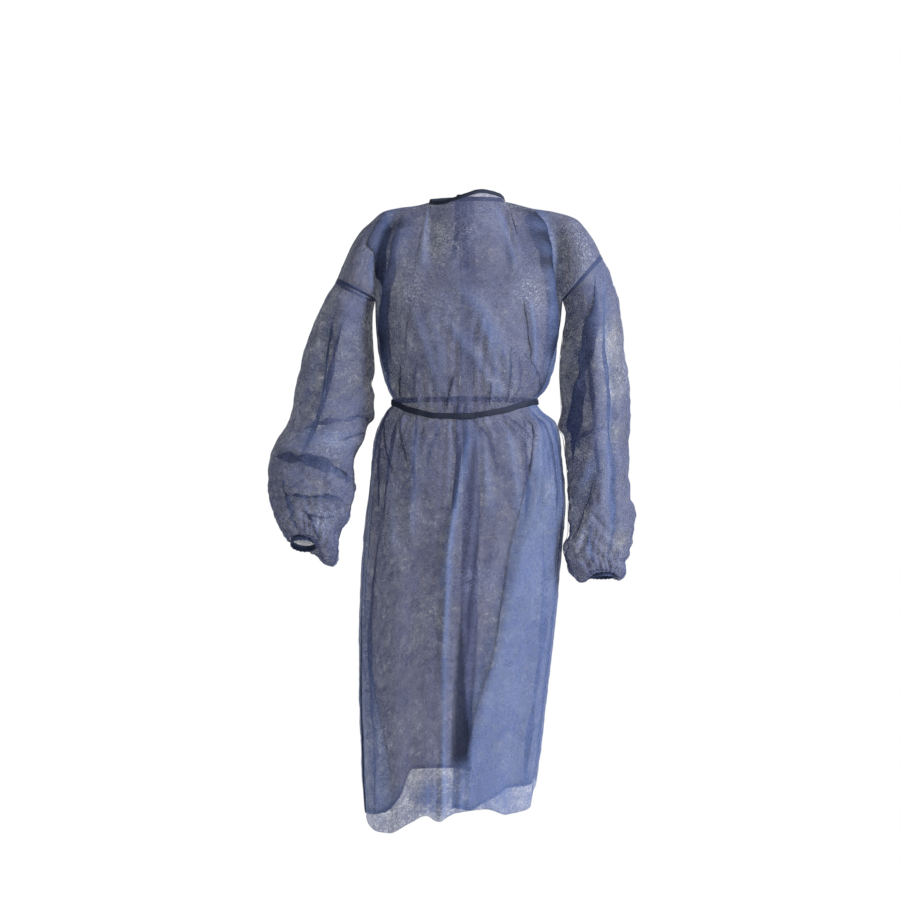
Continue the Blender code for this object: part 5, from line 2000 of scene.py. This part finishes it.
    def build_cuff(self) -> Pieces:
        """Makes the elastic cuff, ruched, with its two rows of stitches.

        Returns:
            The pieces.
        """
        form = self.form
        turn = np.linspace(0, 360, self.cuff_columns + 1)
        middle, across, back, numbers = (values[-1] for values in form.rings())
        ring = form.ring(middle, across, back, numbers, turn, False)
        down = np.cross(across, back)
        down = down * -np.sign(down[2])
        squeeze = 1 - (self.cuff_wall / 2 + self.cuff_tuck_in) / numbers[0]
        place = np.linspace(-self.cuff_inside, 1, self.cuff_rows)[:, None]
        angle = np.radians(turn)[None]
        ruche = np.cos(self.cuff_pleats * angle + 1.2 * np.sin(3 * angle)) + 0.4 * np.cos(17 * angle + 1)
        bulge = 0.30 * MM * np.cos(np.pi * 2.0 * (place - 0.3))
        radial = unit(ring - middle)[None]
        swell = (0.42 * MM * ruche * (0.5 + 0.5 * np.abs(place - self.cuff_inside)) + bulge)[..., None]
        frill = 0.5 * MM * np.cos(19 * angle + 2) * soft(0.7, 1.0, place)
        fall = down * (place * self.cuff_height + frill)[..., None]
        rings = middle + (ring - middle)[None] * squeeze + radial * swell + fall
        rings[:, -1] = rings[:, 0]
        name = f"cuff_{form.side.word}"
        cuff = piece_from(f"{name}_elastic", cloth_grid(rings[::-1], closed=True), FINISH_ELASTIC, "elastic")
        walled(cuff, self.cuff_wall)
        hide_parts(name)
        row = bmesh.new()
        for k in (4, 8):
            self.cuff_stitches.add(row, rings[k] + radial[0] * (self.cuff_wall / 2), radial[0])
        return [cuff, piece_from(f"{name}_stitches", row, FINISH_THREAD, "elastic")]

    def build(self) -> Pieces:
        """Makes the sleeve's pieces."""
        return [self.build_cloth(), *self.build_armhole(), *self.build_underarm(), *self.build_cuff()]


@dataclass
class NeckBinding:
    """The tape folded over the neckline's edge, open at the back lap."""

    form: BodyForm
    width: float = 2.4 * MM
    height: float = 8.4 * MM
    over: float = 1.3 * MM
    clear: float = 0.6 * MM
    stitches: Stitches = Stitches(3.4 * MM, 2.2 * MM, 0.26 * MM)

    def path(self) -> tuple[Array, Array]:
        """The binding's middle line.

        Returns:
            Its points, from the inner back panel's end to the outer one's, and the way up at each.
        """
        form, spans = self.form, []
        half = float(along(LAP_ROWS, np.array(0.0))[0])
        spans.append((np.linspace(180 - half, 180 + form.neck_angle - 0.5, 40), True, False))
        spans.append((np.linspace(-form.neck_angle + 0.5, form.neck_angle - 0.5, 70), False, False))
        spans.append((np.linspace(180 - form.neck_angle + 0.5, 180 + half, 40), True, True))
        points, ways = [], []
        for angle, behind, lapped in spans:
            edge, _ = form.cloth(angle[None], np.zeros((1, len(angle))), behind, lapped)
            way = -unit(form.neck_way(180 - angle if behind else angle, 1.0 if behind else -1.0))
            points.append(edge[0] + way * (self.clear + self.height / 2 - self.over))
            ways.append(way)
        return np.concatenate(points), np.concatenate(ways)

    def build(self) -> Pieces:
        """Makes the binding and its row of stitches.

        Returns:
            The pieces.
        """
        path, ups = (eased(rows, 3) for rows in self.path())
        outs = unit(np.cross(np.gradient(path, axis=0), ups))
        outs = outs * np.sign((outs * (path - path.mean(axis=0))).sum(axis=1, keepdims=True))
        wave = 0.25 * MM * np.sin(np.arange(len(path)) * 0.9) + 0.2 * MM * np.sin(np.arange(len(path)) * 0.37)
        path = path + outs * wave[:, None]
        shape = swept(path, outs, unit(ups), rounded_section(self.width, self.height), False)
        binding = piece_from("neck_binding_tape", shape, FINISH_TAPE, "tape")
        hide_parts("neck_binding")
        row = bmesh.new()
        sewn = path + outs * (self.width / 2 - 0.05 * MM) - ups * (self.height / 2 - 1.6 * MM)
        self.stitches.add(row, sewn, outs)
        return [binding, piece_from("neck_binding_stitches", row, FINISH_THREAD, "tape")]


@dataclass
class Belt:
    """The tie that is drawn round the waist over the gathers."""

    form: BodyForm
    width: float = 2.1 * MM
    height: float = 10.4 * MM
    top: float = 1.967
    bottom: float = 2.0085
    clear: float = 2.0 * MM

    def line(self) -> tuple[Array, Array]:
        """The belt's middle line.

        Returns:
            Its points, all the way round, and the way out at each.
        """
        spans = (
            (np.linspace(-90, 90, 150, endpoint=False), False, False),
            (np.linspace(90, 190, 84, endpoint=False), True, True),
            (np.linspace(196, 270, 60, endpoint=False), True, False),
        )
        points = []
        for angle, behind, lapped in spans:
            rows = np.array([[self.top], [self.bottom]]) + 0 * angle[None]
            edges, _ = self.form.cloth(np.broadcast_to(angle, rows.shape).copy(), rows, behind, lapped)
            points.append(edges.mean(axis=0))
        path = np.concatenate(points)
        for _ in range(10):
            path = (np.roll(path, 1, axis=0) + 2 * path + np.roll(path, -1, axis=0)) / 4
        return path, unit(np.cross(way_round(path), [0, 0, 1.0]) * [1, 1, 0])

    def build(self) -> Pieces:
        """Makes the belt.

        Returns:
            The piece.
        """
        path, outs = self.line()
        run = np.arange(len(path)) / len(path) * 2 * np.pi
        twist = np.radians(5 * np.sin(9 * run) + 4 * np.sin(23 * run + 1))[:, None]
        path = path + outs * (self.clear + 0.35 * MM * np.sin(17 * run)[:, None])
        path[:, 2] += 0.5 * MM * np.sin(13 * run + 2)
        ups = unit(np.cross(outs, unit(way_round(path))))
        ups = ups * np.sign(ups[:, 2:3])
        turned_out = outs * np.cos(twist) + ups * np.sin(twist)
        turned_up = ups * np.cos(twist) - outs * np.sin(twist)
        shape = swept(path, turned_out, turned_up, rounded_section(self.width, self.height), True)
        belt = piece_from("waist_tie_tape", shape, FINISH_TAPE, "tape")
        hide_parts("waist_tie")
        return [belt]


@dataclass
class Knot:
    """A tied tape: one strand that crosses itself three times."""

    node: str
    strand: float = 2.5 * MM
    points: int = 120
    roundness: float = 2.4

    def build(self) -> Pieces:
        """Makes the knot in the place of its node.

        Returns:
            The piece.
        """
        low, high = (np.array(corner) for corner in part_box(self.node))
        middle, half = (low + high) / 2, (high - low) / 2
        t = np.linspace(0, 2 * np.pi, self.points, endpoint=False)
        curve = np.stack([np.sin(t) + 2 * np.sin(2 * t), -np.sin(3 * t), np.cos(t) - 2 * np.cos(2 * t)], 1)
        path = middle + curve / [3, 1, 3] * (half - [self.strand * 1.1, self.strand, self.strand * 1.1])
        way = unit(way_round(path))
        outs = unit(np.cross(way, unit(path - middle + [0, 1e-4, 0])))
        section = rounded_section(self.strand * 1.5, self.strand * 2.2, self.roundness, 12)
        shape = swept(path, outs, np.cross(way, outs), section, True)
        knot = piece_from(f"{self.node}_tape", shape, FINISH_TAPE, "tape")
        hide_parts(self.node)
        return [knot]


@dataclass
class TieEnd:
    """One free end of a tie, which falls from its knot on to the outer back panel and lies down it."""

    node: str
    knot: str
    aside: float
    length: float
    sway: float
    ground: Array
    width: float = 10 * MM
    wall: float = 0.7 * MM
    clear: float = 1.5 * MM
    reach: float = 3.5 * MM
    far_reach: float = 0.03
    rows: int = 64
    lanes: int = 9

    def depth_at(self, x: float, z: float) -> float:
        """How far back the outer panel stands at a place.

        Args:
            x: The place, across.
            z: Its height.

        Returns:
            The panel's Y there.
        """
        near = (self.ground[:, 0] - x) ** 2 + (self.ground[:, 2] - z) ** 2
        weight = np.exp(-near / (2 * self.reach**2)) + 1e-9 * np.exp(-near / (2 * self.far_reach**2))
        return float((weight * self.ground[:, 1]).sum() / weight.sum())

    def build(self) -> Pieces:
        """Makes the tape.

        Returns:
            The piece.
        """
        low, high = (np.array(corner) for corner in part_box(self.knot))
        start_x, start_y, start_z = (low[0] + high[0]) / 2 + self.aside, (low[1] + high[1]) / 2, low[2] + 2.0 * MM
        share = np.linspace(0, 1, self.rows)
        z = start_z - self.length * share
        x = start_x + self.sway * share * share + 1.2 * MM * np.sin(7 * share + self.aside * 300)
        y = eased(np.array([self.depth_at(a, b) for a, b in zip(x, z)]) + self.clear, 6)
        fall = 1 - soft(0, 0.16, share)
        y = y + (start_y - y[0]) * fall
        lanes = []
        for across in np.linspace(-1, 1, self.lanes):
            narrow = 0.55 + 0.45 * soft(0, 0.12, share)
            cup = 0.5 * MM * (1 - across * across) + 0.25 * MM * np.sin(26 * share + 3 * across)
            lanes.append(xyz(x + across * self.width / 2 * narrow, y + cup, z))
        points = np.array(lanes).transpose(1, 0, 2)
        tape = walled(piece_from(f"{self.node}_tape", cloth_grid(points), FINISH_TAPE, "tape"), self.wall)
        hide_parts(self.node)
        return [tape]


@dataclass
class Studio:
    """The pale floor, the soft lights and the camera."""

    floor_height: float = -1.45
    floor_radius: float = 1.5
    sky: float = 0.42
    camera_at: tuple[float, float, float] = (-0.0278, -3.4, -0.4537)
    camera_lens: float = 73.44
    camera_sensor: float = 36.0
    see_through_bounces: int = 48
    aim: tuple[float, float, float] = (0, 0, -0.55)
    lamps: tuple[Lamp, ...] = rows_of(
        Lamp,
        ("key", (2.9, -2.0, 0.9), 1.3, 235.0, (0.87, 0.94, 1.0)),
        ("fill", (-2.4, -2.6, 0.5), 2.2, 12.0, (1.0, 0.97, 0.93)),
        ("back", (0.6, 2.8, 0.9), 2.0, 40.0, (0.95, 0.97, 1.0)),
    )

    def build(self) -> None:
        """Makes the floor, the lights, the sky and the camera."""
        disc = bmesh.new()
        bmesh.ops.create_circle(disc, cap_ends=True, segments=96, radius=self.floor_radius)
        bmesh.ops.translate(disc, vec=(0, 0, self.floor_height), verts=disc.verts)
        piece_from("studio_floor", disc, StudioFloor(), None)
        scene = bpy.context.scene
        for name, place, size, power, colour in self.lamps:
            lamp = bpy.data.lights.new(name, "AREA")
            lamp.shape, lamp.size, lamp.energy, lamp.color = "DISK", size, power, colour
            light = bpy.data.objects.new(name, lamp)
            light.location = place
            light.rotation_euler = (Vector(self.aim) - Vector(place)).to_track_quat("-Z", "Y").to_euler()
            scene.collection.objects.link(light)
        scene.world = self.sky_world()
        lens = bpy.data.cameras.new("camera")
        lens.lens, lens.sensor_width = self.camera_lens, self.camera_sensor
        camera = bpy.data.objects.new("camera", lens)
        camera.location = self.camera_at
        camera.rotation_euler = (math.radians(90), 0, 0)
        scene.collection.objects.link(camera)
        scene.camera = camera
        scene.view_settings.view_transform = "Standard"
        scene.cycles.transparent_max_bounces = self.see_through_bounces

    def sky_world(self) -> bpy.types.World:
        """A plain soft light from all round, which looks white behind the gown.

        Returns:
            The world.
        """
        world = bpy.data.worlds.new("studio")
        world.use_nodes = True
        tree = world.node_tree
        light = tree.nodes["Background"]
        light.inputs["Color"].default_value = (0.93, 0.96, 1.0, 1)
        light.inputs["Strength"].default_value = self.sky
        seen = tree.nodes.new("ShaderNodeBackground")
        seen.inputs["Color"].default_value = (1, 1, 1, 1)
        path, mix = tree.nodes.new("ShaderNodeLightPath"), tree.nodes.new("ShaderNodeMixShader")
        tree.links.new(path.outputs["Is Camera Ray"], mix.inputs["Fac"])
        tree.links.new(light.outputs[0], mix.inputs[1])
        tree.links.new(seen.outputs[0], mix.inputs[2])
        tree.links.new(mix.outputs[0], tree.nodes["World Output"].inputs["Surface"])
        return world


def main() -> None:
    """Builds the gown's sub-assemblies in order, then the studio."""
    logging.basicConfig(level=logging.INFO, format="%(message)s")
    form = BodyForm()
    body = BodyCloth(form)
    LOG.info("body cloth: %d pieces", len(body.build()))
    LOG.info("body seams: %d pieces", len(BodySeams(form).build()))
    for side in Side:
        LOG.info("%s sleeve: %d pieces", side.word, len(Sleeve(SleeveForm(side, form)).build()))
    LOG.info("neck binding: %d pieces", len(NeckBinding(form).build()))
    LOG.info("belt: %d pieces", len(Belt(form).build()))
    outer = body.kept["back_right"][0].reshape(-1, 3)
    ground = outer[(np.abs(outer[:, 0]) < TIE_GROUND) & (outer[:, 1] > 0)]
    for knot in ("waist_knot", "neck_knot"):
        LOG.info("%s: %d pieces", knot, len(Knot(knot).build()))
    ends = (
        ("waist_tail_a", "waist_knot", 6 * MM, 0.230, 12 * MM),
        ("waist_tail_b", "waist_knot", -6 * MM, 0.205, -9 * MM),
        ("neck_tail_a", "neck_knot", 6 * MM, 0.125, 5 * MM),
        ("neck_tail_b", "neck_knot", -6 * MM, 0.105, -7 * MM),
    )
    for node, knot, aside, length, sway in ends:
        TieEnd(node, knot, aside, length, sway, ground).build()
    Studio().build()


if __name__ == "__main__":
    main()
